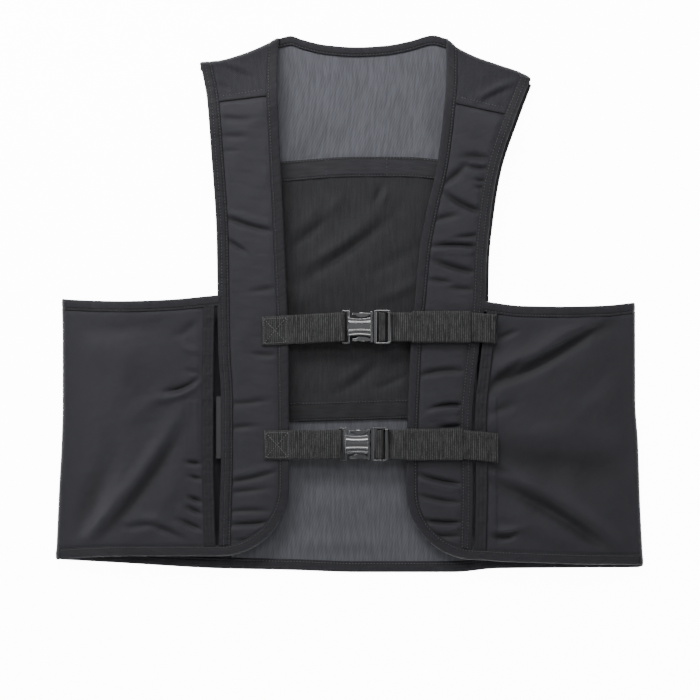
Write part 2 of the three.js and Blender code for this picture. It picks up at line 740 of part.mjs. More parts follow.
// The mesh back, between the armhole bindings and wings, up to the yokes and the neckline
function backGrid() {
  const armSide = (one, y) => one.backArm(y) - one.side * (armBindingWidth + hiddenGap);
  const drop = foldRadius(clothThickness, backMiddle) + shoulderLap + 2 * hiddenGap;
  const topAt = (x) => {
    const one = x < 0 ? left : right;
    const underYoke = one.shoulder(x) - drop;
    if (one.side * (x - one.neckX) > seamGap) return underYoke;
    return Math.min(neckTop(x) - neckBindingWidth - seamGap, underYoke);
  };
  const places = (y) => [
    ...shares(3).map((u) => lerp(armSide(left, y), left.neckX, u)),
    ...shares(neckSteps).slice(1).map((u) => lerp(left.neckX, right.neckX, u)),
    ...shares(3).slice(1).map((u) => lerp(right.neckX, armSide(right, y), u)),
  ];
  const columns = places(0).map((start, column) =>
    shares(16).map((v) => {
      let x = start;
      let y = 0;
      for (let pass = 0; pass < 4; pass += 1) {
        y = lerp(backHemAt(x) + hemBindingWidth + seamGap, topAt(x), v);
        x = places(y)[column];
      }
      return new THREE.Vector3(x, y, backMiddle);
    }),
  );
  return columns[0].map((_, r) => columns.map((column) => column[r]));
}

// The pocket on the inside of the back: its cloth with soft folds, between two stitched bands
function addPocket() {
  const ends = [X(pocketTop[0].across), X(pocketTop[pocketTop.length - 1].across)];
  const bottom = clothThickness + pocketLift;
  const strip = (lower, upper, height) =>
    [lower, upper].map((edge) =>
      shares(8).map((u) => {
        const x = lerp(ends[0], ends[1], u);
        return new THREE.Vector3(x, edge(x), height);
      }),
    );
  const cloth = shares(12).map((v) =>
    shares(10).map((u) => {
      const x = lerp(ends[0], ends[1], u);
      const lower = pocketBottomAt(x) + pocketLowerBand + seamGap;
      const y = lerp(lower, pocketTopAt(x) - pocketTopBand - seamGap, v);
      const fade = fadeFrom(Math.min(u, 1 - u, v, 1 - v), 0.15);
      const puff = pocketPuff + foldsAt(folds.pocket, pocketFoldDepth, x, y);
      return new THREE.Vector3(x, y, bottom + clothThickness / 2 + Math.max(puff, 0) * fade);
    }),
  );
  addCloth("back_pocket", cloth, clothThickness, pocketMesh);
  const bandMiddle = bottom + bandThickness / 2;
  const topBand = strip((x) => pocketTopAt(x) - pocketTopBand, pocketTopAt, bandMiddle);
  const lowerBand = strip(pocketBottomAt, (x) => pocketBottomAt(x) + pocketLowerBand, bandMiddle);
  addCloth("pocket_top_band", topBand, bandThickness, pocketMesh);
  addCloth("pocket_lower_band", lowerBand, bandThickness, pocketMesh);
}

// The closing tape that shows in the left slit, sewn under the edge of the side binding
function addClosingTape() {
  const middle = Y(0.27);
  const z = frontMiddle - (bindingThickness + tapeThickness) / 2 - webbingGap;
  const grid = shares(4).map((v) =>
    [0, tapeWidth].map((offset) => {
      const y = middle + (v - 0.5) * tapeLength;
      return new THREE.Vector3(left.sideEdge(y) - tapeShowing + offset, y, z);
    }),
  );
  addCloth("slit_closing_tape", grid, tapeThickness, closingTape);
}

function addSide(one, wingFolds, panelFolds) {
  addCloth(`${one.name}_yoke`, yokeGrid(one), clothThickness, meshCloth);
  addCloth(`${one.name}_front_panel`, panelGrid(one, panelFolds), clothThickness, stretchCloth);
  addCloth(`${one.name}_wing`, wingGrid(one, wingFolds), clothThickness, stretchCloth);
  addCloth(`${one.name}_slit_band`, slitBandGrid(one), bandThickness, stretchCloth);
  addCloth(`${one.name}_front_binding`, frontBindingGrid(one), bindingThickness, bindingTape);
  addCloth(`${one.name}_side_binding`, sideBindingGrid(one), bindingThickness, bindingTape);
  addCloth(`${one.name}_back_arm_binding`, backArmGrid(one), bindingThickness, bindingTape);
  addCloth(`${one.name}_wing_binding`, wingTopGrid(one), bindingThickness, bindingTape);
}

// A flat strip as wide as the webbing that follows a line in the XZ plane, centred on y = 0
function webbingGeometry(line) {
  const half = webbingWidth / 2;
  const grid = line.map(([x, z]) => [-half, half].map((y) => new THREE.Vector3(x, y, z)));
  return wallGeometry(grid, webbingThickness);
}

// The same piece, with all that lies past `from` on that side turned in its plane
function turned(geometry, from, side, degrees) {
  const place = geometry.attributes.position;
  for (let i = 0; i < place.count; i += 1) {
    const past = Math.max(0, side * (place.getX(i) - from));
    place.setY(i, place.getY(i) + side * past * Math.tan(radians(degrees)));
  }
  return geometry;
}

// Points round a bar from the top to the underside, passing its right or left end
function roundBar(x, z, radius, side) {
  return shares(6).map((share) => {
    const angle = Math.PI * share;
    return [x + side * radius * Math.sin(angle), z + radius * Math.cos(angle)];
  });
}

// A solid for joining and cutting, from a geometry whose vertices meet
function solidOf(geometry) {
  const bare = geometry.index ? geometry.toNonIndexed() : geometry.clone();
  bare.deleteAttribute("normal");
  bare.deleteAttribute("uv");
  const merged = mergeVertices(bare, 1e-4);
  return new wasm.Manifold(
    new wasm.Mesh({
      numProp: 3,
      vertProperties: merged.attributes.position.array,
      triVerts: new Uint32Array(merged.index.array),
    }),
  );
}

function geometryOf(solid) {
  const { numProp, vertProperties, triVerts } = solid.getMesh();
  const place = [];
  for (let i = 0; i < vertProperties.length; i += numProp) {
    place.push(vertProperties[i], vertProperties[i + 1], vertProperties[i + 2]);
  }
  const geometry = new THREE.BufferGeometry();
  geometry.setAttribute("position", new THREE.Float32BufferAttribute(place, 3));
  geometry.setIndex([...triVerts]);
  return geometry;
}

// A block between two x places and two z places, centred on y = 0
function block(x0, x1, width, z0, z1, y = 0) {
  const geometry = new THREE.BoxGeometry(x1 - x0, width, z1 - z0);
  geometry.translate((x0 + x1) / 2, y, (z0 + z1) / 2);
  return solidOf(geometry);
}

// A plate cut to an outline in plan, centred on z = 0
function plate(outline, height) {
  const geometry = new THREE.ExtrudeGeometry(outline, {
    depth: height,
    bevelEnabled: false,
    curveSegments: 6,
  });
  geometry.translate(0, 0, -height / 2);
  return solidOf(geometry);
}

// A rectangle in plan with round corners
function roundedPlan(x0, x1, width, corner) {
  const half = width / 2;
  const outline = new THREE.Shape();
  outline.moveTo(x0 + corner, -half);
  outline.lineTo(x1 - corner, -half);
  outline.quadraticCurveTo(x1, -half, x1, -half + corner);
  outline.lineTo(x1, half - corner);
  outline.quadraticCurveTo(x1, half, x1 - corner, half);
  outline.lineTo(x0 + corner, half);
  outline.quadraticCurveTo(x0, half, x0, half - corner);
  outline.lineTo(x0, -half + corner);
  outline.quadraticCurveTo(x0, -half, x0 + corner, -half);
  return outline;
}

// Places along a buckle, with x = 0 where its two halves meet
const housingLeft = -housingLength;
const slotRight = housingLeft + barLength + slotLength;
const housingHeight = cavityHeight + 2 * plateThickness;
const ladderLeft = frameLength - endBarLength - ladderSlotLength - ladderBarLength;
const ladderRight = ladderLeft + ladderBarLength;
const frameCorner = 4;

// The waisted plan of the housing's top and bottom plates
function bridgePlan() {
  const half = bridgeWidth / 2;
  const middle = slotRight / 2;
  const outline = new THREE.Shape();
  outline.moveTo(slotRight, -half);
  outline.quadraticCurveTo(middle, -half + 2 * bridgeWaist, 0, -half);
  outline.lineTo(0, half);
  outline.quadraticCurveTo(middle, half - 2 * bridgeWaist, slotRight, half);
  outline.lineTo(slotRight, -half);
  return outline;
}

// The socket half of a buckle: a bar and slot for the webbing, two plates and a collar at its mouth
function housingGeometry() {
  const end = plate(roundedPlan(housingLeft, slotRight + barLength, housingEndWidth, 2), cavityHeight);
  const slot = block(housingLeft + barLength, slotRight, webbingWidth + 1, -cavityHeight, cavityHeight);
  const barRelief = (cavityHeight - barHeight) / 2;
  const aboveBar = block(housingLeft - 1, slotRight, webbingWidth + 1, barHeight / 2, cavityHeight);
  const belowBar = block(housingLeft - 1, slotRight, webbingWidth + 1, -cavityHeight, -barHeight / 2);
  const bridge = plate(bridgePlan(), housingHeight);
  const collar = block(-collarLength, 0, housingEndWidth - 2, -housingHeight / 2, housingHeight / 2);
  const hollowWidth = housingEndWidth - 2 - 2 * collarWall;
  const half = cavityHeight / 2;
  const hollow = block(slotRight + barLength + barRelief, 1, hollowWidth, -half, half);
  const solid = end.add(bridge).add(collar).subtract(slot).subtract(aboveBar).subtract(belowBar);
  return geometryOf(solid.subtract(hollow));
}

// The plug half: a ladder frame for the webbing, a middle peg and two sprung arms with buttons
function plugGeometry() {
  const frame = plate(roundedPlan(0.4, frameLength, frameWidth, frameCorner), frameHeight);
  const inside = frameWidth - 2 * railWidth;
  const slots = block(ladderLeft - ladderSlotLength, frameLength - endBarLength, inside, -9, 9);
  const ladderHalf = ladderBarHeight / 2;
  const ladderBar = block(ladderLeft, ladderRight, frameWidth - railWidth, -ladderHalf, ladderHalf);
  const pastEnd = frameLength - endBarLength;
  const underEnd = block(pastEnd, frameLength + 1, inside, -9, -endBarHeight / 2);
  const overEnd = block(pastEnd, frameLength + 1, inside, endBarHeight / 2, 9);
  const armLength = -(slotRight + barLength) - 2;
  const armZ = armThickness / 2;
  const armY = (housingEndWidth - 2 - 2 * collarWall) / 2 - pegClearance - armWidth / 2;
  let solid = frame.subtract(slots).add(ladderBar).subtract(underEnd).subtract(overEnd);
  for (const side of [-1, 1]) {
    const arm = block(-armLength, 1, armWidth, -armZ, armZ, side * armY);
    const button = new THREE.CylinderGeometry(buttonWidth, buttonWidth, armThickness, 12);
    button.rotateX(Math.PI / 2);
    button.scale(2.2, 0.8, 1);
    button.translate(-armLength / 2, side * (armY - armWidth / 4), 0);
    solid = solid.add(arm).add(solidOf(button));
  }
  const peg = block(-armLength * 0.8, 1, armWidth * 1.3, -armZ, armZ);
  return geometryOf(solid.add(peg));
}

// The left webbing: sewn to the panel, up to the housing's bar, round it and back under itself
function leftWebbingLine(length) {
  const barX = housingLeft + barLength / 2;
  const radius = Math.hypot(barLength, barHeight) / 2 + (webbingGap + webbingThickness) / 2 + 0.1;
  const z = strapMiddle - buckleMiddle;
  const doubled = webbingThickness + webbingGap;
  const under = (share) => lerp(z, radius, share) - doubled;
  return [
    ...evenly(-length, barX - 2 * foldBackLength, bindingStep).map((x) => [x, z]),
    [barX - foldBackLength, lerp(z, radius, 0.5)],
    ...roundBar(barX, 0, radius, 1),
    [barX - foldBackLength / 3, under(0.4)],
    [barX - foldBackLength, under(0.5)],
  ];
}

// The right webbing: sewn to the panel, under the ladder bar, over it and back out as the tail
function rightWebbingLine(sewnX, keeperX, keeperEnd, tailX, tailHeight) {
  const gap = webbingGap + webbingThickness / 2;
  const barTop = ladderBarHeight / 2 + gap;
  const pastEnd = frameLength - endBarLength;
  const tailLow = -endBarHeight / 2 - gap - 0.1;
  const standingLow = tailLow - webbingThickness - webbingGap;
  const leaveX = frameLength + 2;
  const riseX = lerp(leaveX, keeperX, 0.75);
  return [
    [sewnX, strapMiddle - buckleMiddle],
    [riseX, strapMiddle - buckleMiddle],
    [leaveX, standingLow],
    [pastEnd - 0.6, standingLow],
    [ladderRight - 0.7, -barTop - 0.2],
    [ladderLeft + 0.5, -barTop],
    [ladderLeft - gap * 0.8, -barTop * 0.7],
    [ladderLeft - gap, 0],
    [ladderLeft - gap * 0.8, barTop * 0.7],
    [ladderLeft + 0.5, barTop],
    [ladderRight + 0.3, barTop],
    [ladderRight + gap + 0.8, 0.2],
    [pastEnd - gap * 1.2, -endBarHeight / 2],
    [pastEnd + 0.3, tailLow],
    [frameLength + 0.6, tailLow + 0.1],
    [riseX - 2, tailHeight],
    [keeperX, tailHeight],
    [keeperEnd, tailHeight],
    [tailX - tailFoldLength, tailHeight],
    [tailX, tailHeight],
  ];
}

// The keeper: a flat loop round the tail
function keeperGeometry(start, end, height) {
  const inside = webbingThickness + 2 * keeperSlack;
  const outside = inside + 2 * keeperWall;
  const width = webbingWidth + 2 * keeperSlack;
  const low = height - outside / 2;
  const body = block(start, end, width + 2 * keeperWall, low, low + outside);
  const bore = block(start - 1, end + 1, width, height - inside / 2, height + inside / 2);
  return geometryOf(body.subtract(bore));
}

function addStrap(strap) {
  const middleX = X(strap.buckle);
  const buckle = new THREE.Group();
  buckle.position.set(middleX, Y(strap.up), buckleMiddle);
  vest.add(buckle);
  addPiece(`${strap.name}_buckle_housing`, housingGeometry(), glossPlastic, buckle);
  addPiece(`${strap.name}_buckle_plug`, plugGeometry(), glossPlastic, buckle);

  const leftLine = leftWebbingLine(middleX - X(strap.leftEnd));
  const leftWebbing = webbingGeometry(leftLine);
  turned(leftWebbing, housingLeft - 2, -1, strap.leftTurn);
  addPiece(`${strap.name}_left_webbing`, leftWebbing, webbingWeave, buckle);

  const [keeperX, keeperEnd, tailX] = [strap.keeperStart, strap.keeperEnd, strap.tailEnd].map(
    (across) => X(across) - middleX,
  );
  const standingTop = strapMiddle - buckleMiddle + webbingThickness / 2;
  const tailHeight = standingTop + webbingGap + keeperWall + keeperSlack + webbingThickness / 2;
  const sewnX = X(strap.sewn) - middleX;
  const line = rightWebbingLine(sewnX, keeperX, keeperEnd, tailX, tailHeight);
  // The tail's end is folded back over itself and sewn
  const foldTopZ = tailHeight + webbingThickness + webbingGap;
  const fold = block(tailX - tailFoldLength, tailX, webbingWidth, tailHeight, foldTopZ);
  const rightWebbing = geometryOf(solidOf(webbingGeometry(line)).add(fold));
  turned(rightWebbing, keeperEnd, 1, strap.tailTurn);
  addPiece(`${strap.name}_right_webbing`, rightWebbing, webbingWeave, buckle);
  const keeper = keeperGeometry(keeperX, keeperEnd, tailHeight);
  addPiece(`${strap.name}_strap_keeper`, keeper, webbingWeave, buckle);
}

addCloth("back_panel", backGrid(), clothThickness, meshCloth);
addCloth("neck_binding", neckBindingGrid(), bindingThickness, bindingTape);
addCloth("back_hem_binding", backHemGrid(), bindingThickness, bindingTape);
addCloth("left_hem_turn", hemTurnGrid(left), bindingThickness, bindingTape);
addCloth("right_hem_turn", hemTurnGrid(right).reverse(), bindingThickness, bindingTape);
addPocket();
addClosingTape();
addSide(left, folds.leftWing, folds.leftPanel);
addSide(right, folds.rightWing, folds.rightPanel);
straps.forEach(addStrap);

export default vest;
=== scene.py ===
"""Looks of a cooling vest of dark stretch cloth and mesh, laid flat with its front up.

Every length is in metres. The origin is the middle of the vest on the surface that it lies on: +X
is to the right as seen from above, +Y towards the shoulders and +Z up.
"""

from __future__ import annotations

import logging
import math
from dataclasses import dataclass, field
from enum import Enum
from typing import Callable, Sequence

import bmesh
import bpy
import numpy as np
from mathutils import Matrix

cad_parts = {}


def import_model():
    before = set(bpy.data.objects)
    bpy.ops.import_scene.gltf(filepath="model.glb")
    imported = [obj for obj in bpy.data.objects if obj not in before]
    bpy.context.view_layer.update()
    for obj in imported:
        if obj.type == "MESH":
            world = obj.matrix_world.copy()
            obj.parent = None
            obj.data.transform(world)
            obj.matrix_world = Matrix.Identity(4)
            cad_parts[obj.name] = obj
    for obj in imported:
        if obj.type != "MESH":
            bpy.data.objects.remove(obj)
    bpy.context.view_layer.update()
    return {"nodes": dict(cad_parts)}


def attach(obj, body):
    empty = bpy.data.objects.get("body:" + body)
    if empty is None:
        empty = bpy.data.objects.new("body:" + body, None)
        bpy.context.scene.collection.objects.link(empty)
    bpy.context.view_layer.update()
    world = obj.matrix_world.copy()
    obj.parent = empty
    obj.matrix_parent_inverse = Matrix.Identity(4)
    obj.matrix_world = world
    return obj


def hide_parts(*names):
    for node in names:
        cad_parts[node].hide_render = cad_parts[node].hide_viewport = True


LOG = logging.getLogger("cooling_vest")
MM = 0.001
HALF_WIDTH = 0.305
LENGTH = 0.56
PICTURE_SCALE = 0.0010315
PICTURE_MIDDLE = (349.6, 302.6)
TAU = 2 * math.pi
Array = np.ndarray
Rows = Sequence[tuple[float, float]]


class Held(Enum):
    """How a sheet of cloth lies."""

    LAID = "laid"
    FOLDED = "folded"


class Slot(Enum):
    """Names of material slots."""

    STRETCH = "stretch_cloth"
    BACK_MESH = "back_mesh"
    POCKET = "pocket_mesh"
    BINDING = "binding"
    TAPE = "closing_tape"
    WEBBING = "webbing"
    PLASTIC = "buckle_plastic"


def spot(x: float, y: float) -> tuple[float, float]:
    """Turns a place on a 700 by 700 picture from straight above into metres on the vest.

    Args:
        x: How far right of the picture's left edge.
        y: How far below its top edge.

    Returns:
        The place's X and Y.
    """
    middle_x, middle_y = PICTURE_MIDDLE
    return (x - middle_x) * PICTURE_SCALE, (middle_y - y) * PICTURE_SCALE


def smoothstep(value: Array | float) -> Array:
    """Eases from 0 to 1 as the value goes from 0 to 1."""
    t = np.clip(value, 0.0, 1.0)
    return t * t * (3 - 2 * t)


def mix(a: Array | float, b: Array | float, t: Array | float) -> Array:
    """Gives the value a share t of the way from a to b."""
    return a + (b - a) * t


def upward(count: int) -> Array:
    """Gives the upward direction once for each of a number of points."""
    return np.tile([0.0, 0.0, 1.0], (count, 1))


class Curve:
    """A smooth curve through the rows of a table that doesn't overshoot them."""

    def __init__(self, rows: Rows) -> None:
        """Reads the table.

        Args:
            rows: Pairs of a place and the value there.
        """
        points = sorted(rows)
        self.at = np.array([p[0] for p in points])
        self.value = np.array([p[1] for p in points])
        slope = np.diff(self.value) / np.diff(self.at)
        before, after = slope[:-1], slope[1:]
        same = before * after > 0
        total = np.where(same, before + after, 1.0)
        inner = np.where(same, 2 * before * after / total, 0.0)
        self.tangent = np.concatenate([slope[:1], inner, slope[-1:]])

    def __call__(self, place: Array | float) -> Array:
        """Gives the value at a place, and beyond the ends the value there."""
        p = np.clip(place, self.at[0], self.at[-1])
        i = np.clip(np.searchsorted(self.at, p, side="right") - 1, 0, len(self.at) - 2)
        span = self.at[i + 1] - self.at[i]
        t = (p - self.at[i]) / span
        rise = self.value[i + 1] - self.value[i]
        lean = self.tangent[i] * t * (1 - t) ** 2 - self.tangent[i + 1] * t * t * (1 - t)
        return self.value[i] + rise * t * t * (3 - 2 * t) + span * lean


def across_at(rows: Rows) -> Curve:
    """Makes X from Y, from rows of a share of the length and one of half the width."""
    return Curve([((up - 0.5) * LENGTH, across * HALF_WIDTH) for up, across in rows])


def up_at(rows: Rows) -> Curve:
    """Makes Y from X, from rows of a share of half the width and one of the length."""
    return Curve([(across * HALF_WIDTH, (up - 0.5) * LENGTH) for across, up in rows])


@dataclass(frozen=True)
class Levels:
    """Heights and walls that all cloth pieces share."""

    cloth: float = 0.9 * MM
    mesh: float = 0.6 * MM
    back: float = 0.6 * MM
    back_binding: float = 1.2 * MM
    fold_top: float = 8.4 * MM
    front_rise: float = 8 * MM
    rise_length: float = 70 * MM
    lap: float = 4 * MM
    front_binding: float = 11.4 * MM
    arm_binding: float = 12.4 * MM
    wing_binding: float = 11.6 * MM
    neck_binding: float = 10.2 * MM
    hem_binding: float = 11.4 * MM
    slit_band: float = 12 * MM
    corner: float = 72 * MM
    tuck: float = 2 * MM

    def reach(self, thickness: float, back: float) -> float:
        """Gives how far a fold's middle line lies inside its outermost point."""
        return (self.fold_top - back) / 2 + thickness / 2


LEVELS = Levels()


@dataclass(frozen=True)
class Crease:
    """One fold in cloth: a ridge, or a valley where `high` is negative.

    Its place is on the picture, `turn` is in degrees from +X, and the other sizes are millimetres.
    """

    x: float
    y: float
    turn: float
    long: float
    wide: float
    high: float
    bend: float = 0.0

    def height(self, x: Array, y: Array, reach: float = 1.0) -> Array:
        """Gives the fold's height at places on the vest.

        Args:
            x: Places across.
            y: Places along.
            reach: How many times its length it runs.

        Returns:
            Heights at the places.
        """
        turn = math.radians(self.turn)
        middle = spot(self.x, self.y)
        dx, dy = (x - middle[0]) / MM, (y - middle[1]) / MM
        along = (dx * math.cos(turn) + dy * math.sin(turn)) / (self.long * reach)
        beside = dy * math.cos(turn) - dx * math.sin(turn) - self.bend * along**2
        taper = np.exp(-2.2 * np.abs(along) ** 2.6)
        return self.high * MM * np.exp(-((beside / self.wide) ** 2)) * taper


def crease_height(
    creases: Sequence[Crease], x: Array, y: Array, reach: float = 1.0
) -> Array:
    """Adds up all folds of a piece."""
    return sum((crease.height(x, y, reach) for crease in creases), np.zeros(np.shape(x)))


def ripple(x: Array, y: Array, size: float, waves: float, seed: int) -> Array:
    """Gives the small uneven lie of real cloth.

    Args:
        x: Places across.
        y: Places along.
        size: The most that it rises.
        waves: The mean length of a wave.
        seed: Which uneven lie it is.

    Returns:
        Heights at the places.
    """
    chance = np.random.default_rng(seed)
    total = np.zeros(np.shape(x))
    for _ in range(9):
        turn, phase = chance.uniform(0, TAU, 2)
        pace = TAU / (waves * chance.uniform(0.6, 1.7))
        total += np.sin((x * math.cos(turn) + y * math.sin(turn)) * pace + phase)
    return total * size / 6


# Outlines of the two sides as seen from above. Rows named up_ hold a share of the length and one
# of half the width, and the others hold them the other way round.
@dataclass(frozen=True)
class Outline:
    """The outlines of one side of the vest."""

    side: int
    up_front_edge: Rows
    up_side_edge: Rows
    up_slit_edge: Rows
    up_fold_edge: Rows
    up_back_arm: Rows
    shoulder: Rows
    yoke_seam: Rows
    wing_top: Rows
    front_hem: Rows


LEFT_OUTLINE = Outline(
    side=-1,
    up_front_edge=(
        (0.991, -0.241), (0.91, -0.245), (0.798, -0.237), (0.619, -0.221), (0.391, -0.206),
        (0.203, -0.204), (0.033, -0.207),
    ),
    up_side_edge=(
        (0.946, -0.509), (0.873, -0.483), (0.781, -0.469), (0.619, -0.45), (0.512, -0.447),
        (0.413, -0.444), (0.32, -0.435), (0.21, -0.435), (0.136, -0.439), (0.033, -0.443),
    ),
    up_slit_edge=(
        (0.523, -0.454), (0.431, -0.458), (0.317, -0.46), (0.21, -0.46), (0.136, -0.457),
        (0.044, -0.452),
    ),
    up_fold_edge=(
        (0.508, -0.98), (0.424, -0.977), (0.313, -0.977), (0.247, -0.98), (0.155, -0.989),
        (0.024, -1.0),
    ),
    up_back_arm=(
        (0.946, -0.506), (0.873, -0.479), (0.781, -0.465), (0.619, -0.447), (0.512, -0.443),
        (0.002, -0.443),
    ),
    shoulder=(
        (-0.509, 0.947), (-0.452, 0.949), (-0.368, 0.961), (-0.287, 0.979), (-0.241, 0.993),
    ),
    yoke_seam=((-0.509, 0.867), (-0.452, 0.87), (-0.288, 0.88), (-0.201, 0.884)),
    wing_top=(
        (-0.981, 0.508), (-0.943, 0.506), (-0.771, 0.503), (-0.633, 0.505), (-0.445, 0.514),
    ),
    front_hem=((-0.999, 0.025), (-0.878, 0.03), (-0.75, 0.033), (-0.201, 0.033)),
)
RIGHT_OUTLINE = Outline(
    side=1,
    up_front_edge=(
        (0.984, 0.329), (0.921, 0.328), (0.851, 0.318), (0.753, 0.295), (0.673, 0.262),
        (0.597, 0.236), (0.529, 0.224), (0.391, 0.203), (0.203, 0.192), (0.033, 0.192),
    ),
    up_side_edge=(
        (0.914, 0.615), (0.846, 0.564), (0.744, 0.502), (0.663, 0.477), (0.575, 0.463),
        (0.501, 0.458), (0.411, 0.437), (0.276, 0.415), (0.166, 0.419), (0.033, 0.414),
    ),
    up_slit_edge=(
        (0.501, 0.468), (0.411, 0.445), (0.276, 0.423), (0.166, 0.427), (0.033, 0.422),
    ),
    up_fold_edge=(
        (0.501, 0.972), (0.317, 0.973), (0.241, 0.982), (0.129, 0.989), (0.013, 1.0),
    ),
    up_back_arm=(
        (0.914, 0.627), (0.844, 0.578), (0.744, 0.517), (0.663, 0.492), (0.575, 0.476),
        (0.501, 0.474), (0.002, 0.474),
    ),
    shoulder=(
        (0.329, 0.991), (0.357, 0.977), (0.427, 0.957), (0.505, 0.942), (0.59, 0.926),
        (0.622, 0.916),
    ),
    yoke_seam=((0.306, 0.872), (0.362, 0.866), (0.52, 0.848), (0.576, 0.842)),
    wing_top=(
        (0.458, 0.503), (0.478, 0.501), (0.589, 0.494), (0.727, 0.493), (0.863, 0.495),
        (0.972, 0.501),
    ),
    front_hem=(
        (0.191, 0.027), (0.434, 0.026), (0.519, 0.023), (0.677, 0.02), (0.847, 0.017),
        (0.998, 0.015),
    ),
)
NECK_TOP = up_at((
    (-0.241, 0.991), (-0.201, 0.996), (-0.161, 0.989), (-0.08, 0.979), (0.022, 0.975),
    (0.123, 0.978), (0.204, 0.986), (0.285, 0.997), (0.329, 0.991),
))
BACK_HEM = up_at((
    (-1.0, 0.024), (-0.771, 0.017), (-0.446, 0.007), (-0.201, 0.004), (0.035, 0.0),
    (0.353, 0.0), (0.508, 0.007), (1.0, 0.009),
))
POCKET_TOP = up_at((
    (-0.384, 0.755), (-0.232, 0.762), (0.032, 0.771), (0.17, 0.771), (0.387, 0.761),
))
POCKET_BOTTOM = up_at(((-0.384, 0.278), (-0.205, 0.28), (0.191, 0.286), (0.387, 0.289)))

# Folds of each piece: place on the picture, turn, length, width, height and bend.
LEFT_WING_FOLDS = (
    Crease(133, 484, 53, 88, 8.5, 2.8, 9),
    Crease(148, 484, 54, 74, 7, -2.4, 8),
    Crease(166, 500, 60, 44, 10, 1.4, 4),
    Crease(103, 512, 60, 50, 10, 1.6, 4),
    Crease(92, 500, 62, 56, 12, -1.6, 3),
    Crease(184, 388, 22, 20, 3.2, -3.0, 5),
    Crease(180, 394, 24, 26, 4.4, 2.0, 5),
    Crease(150, 404, 40, 34, 8, 1.0, 5),
    Crease(188, 330, 34, 16, 5, -1.0, 2),
    Crease(190, 350, -20, 12, 4, 0.8, 2),
    Crease(193, 372, -14, 12, 3, -0.8, 1),
    Crease(194, 463, -6, 9, 2.3, -2.6, 0),
    Crease(197, 478, -14, 9, 2.1, -2.6, 0),
    Crease(196, 500, -22, 10, 2.3, -2.8, 0),
    Crease(195, 511, -26, 11, 2.4, -2.6, 0),
    Crease(191, 525, -24, 15, 2.6, -2.6, 0),
    Crease(140, 526, 8, 20, 4, -1.2, 3),
    Crease(168, 531, -24, 26, 4, -1.5, -4),
    Crease(166, 525, -24, 24, 5, 1.1, -4),
    Crease(152, 520, 4, 26, 6, 0.9, 3),
    Crease(118, 352, -10, 60, 22, 1.4, 5),
    Crease(110, 330, 4, 70, 10, -0.8, 3),
)
RIGHT_WING_FOLDS = (
    Crease(542, 362, 28, 74, 6.5, -3.2, 7),
    Crease(548, 349, 28, 70, 11, 2.8, 7),
    Crease(585, 336, 24, 50, 9, -1.2, 4),
    Crease(508, 372, 34, 18, 4, -1.8, 1),
    Crease(560, 465, -5, 70, 18, -2.2, 6),
    Crease(560, 438, -4, 70, 16, 1.4, 6),
    Crease(556, 514, -31, 84, 7, -2.8, -8),
    Crease(560, 501, -31, 80, 10, 2.2, -8),
    Crease(540, 530, -28, 50, 9, 1.2, -4),
    Crease(505, 537, 8, 15, 3.4, -2.2, 4),
    Crease(510, 531, 6, 18, 4.5, 1.4, 4),
    Crease(500, 410, 20, 20, 5, -0.8, 2),
    Crease(498, 470, -24, 24, 5, -0.9, 2),
    Crease(600, 400, 40, 40, 12, 1.2, 0),
    Crease(504, 336, 20, 16, 3, -1.2, 0),
)
LEFT_PANEL_FOLDS = (
    Crease(236, 119, -4, 14, 3.4, -0.9, 2),
    Crease(233, 136.5, -3, 12, 3.2, -0.8, 1),
    Crease(229, 151, 0, 9, 2.8, -0.6, 0),
    Crease(248, 225, -17, 25, 3.2, -1.7, 2),
    Crease(249, 220, -17, 24, 4, 0.9, 2),
    Crease(236, 245.5, -35, 12, 2.6, -1.4, 0),
    Crease(262, 290, 8, 12, 3.2, -0.8, 0),
    Crease(264, 355, -4, 12, 3, -1.0, 1),
    Crease(246, 403, 4, 18, 3, -1.1, 2),
    Crease(240, 427, 3, 14, 2.8, -1.1, 0),
    Crease(251, 478, 12, 22, 3, -1.5, 2),
    Crease(251, 473, 12, 22, 4, 0.8, 2),
    Crease(246, 491, 6, 18, 2.8, -1.1, 1),
    Crease(246, 510.6, 2, 18, 2.6, -1.3, -1),
    Crease(250, 524, 4, 22, 2.8, -1.9, 2),
    Crease(250, 529, 4, 22, 3.4, 0.9, 2),
    Crease(247, 540, 1, 17, 2.6, -1.2, 1),
)
RIGHT_PANEL_FOLDS = (
    Crease(477, 157, -6, 14, 3.4, -1.1, -2),
    Crease(479, 168, -8, 11, 2.4, -1.2, 0),
    Crease(484, 181, -8, 8, 2, -1.3, 0),
    Crease(484, 188, -6, 8, 2, -1.3, 0),
    Crease(455, 176, 40, 14, 4, -1.2, 2),
    Crease(466, 206, -25, 22, 3, -1.6, 5),
    Crease(470, 236, 5, 12, 2.4, -1.2, 0),
    Crease(458, 245.4, -2, 22, 2.8, -1.9, -3),
    Crease(458, 250, -2, 22, 3.8, 1.0, -3),
    Crease(456, 268, -16, 21, 3, -1.6, 2),
    Crease(440, 281, -9, 10, 2.6, -1.2, 0),
    Crease(462, 289, -5, 12, 2.8, -1.0, 0),
    Crease(444, 218, 12, 12, 3.2, -1.0, 0),
    Crease(441, 371, 6, 21, 3.2, -1.5, -5),
    Crease(450, 405, 2, 16, 2.6, -2.0, -4),
    Crease(450, 410, 2, 16, 3.4, 1.0, -4),
    Crease(453, 427, 4, 12, 2.4, -1.3, 0),
    Crease(441, 481, -12, 21, 2.8, -1.8, 3),
    Crease(441, 486, -12, 21, 3.6, 0.9, 3),
    Crease(440, 500, -10, 20, 2.6, -1.4, 2),
    Crease(443, 522.5, -3, 18, 2.6, -1.9, 2),
    Crease(443, 527, -3, 18, 3.4, 0.8, 2),
    Crease(444, 536, -3, 16, 2.4, -1.2, 1),
)
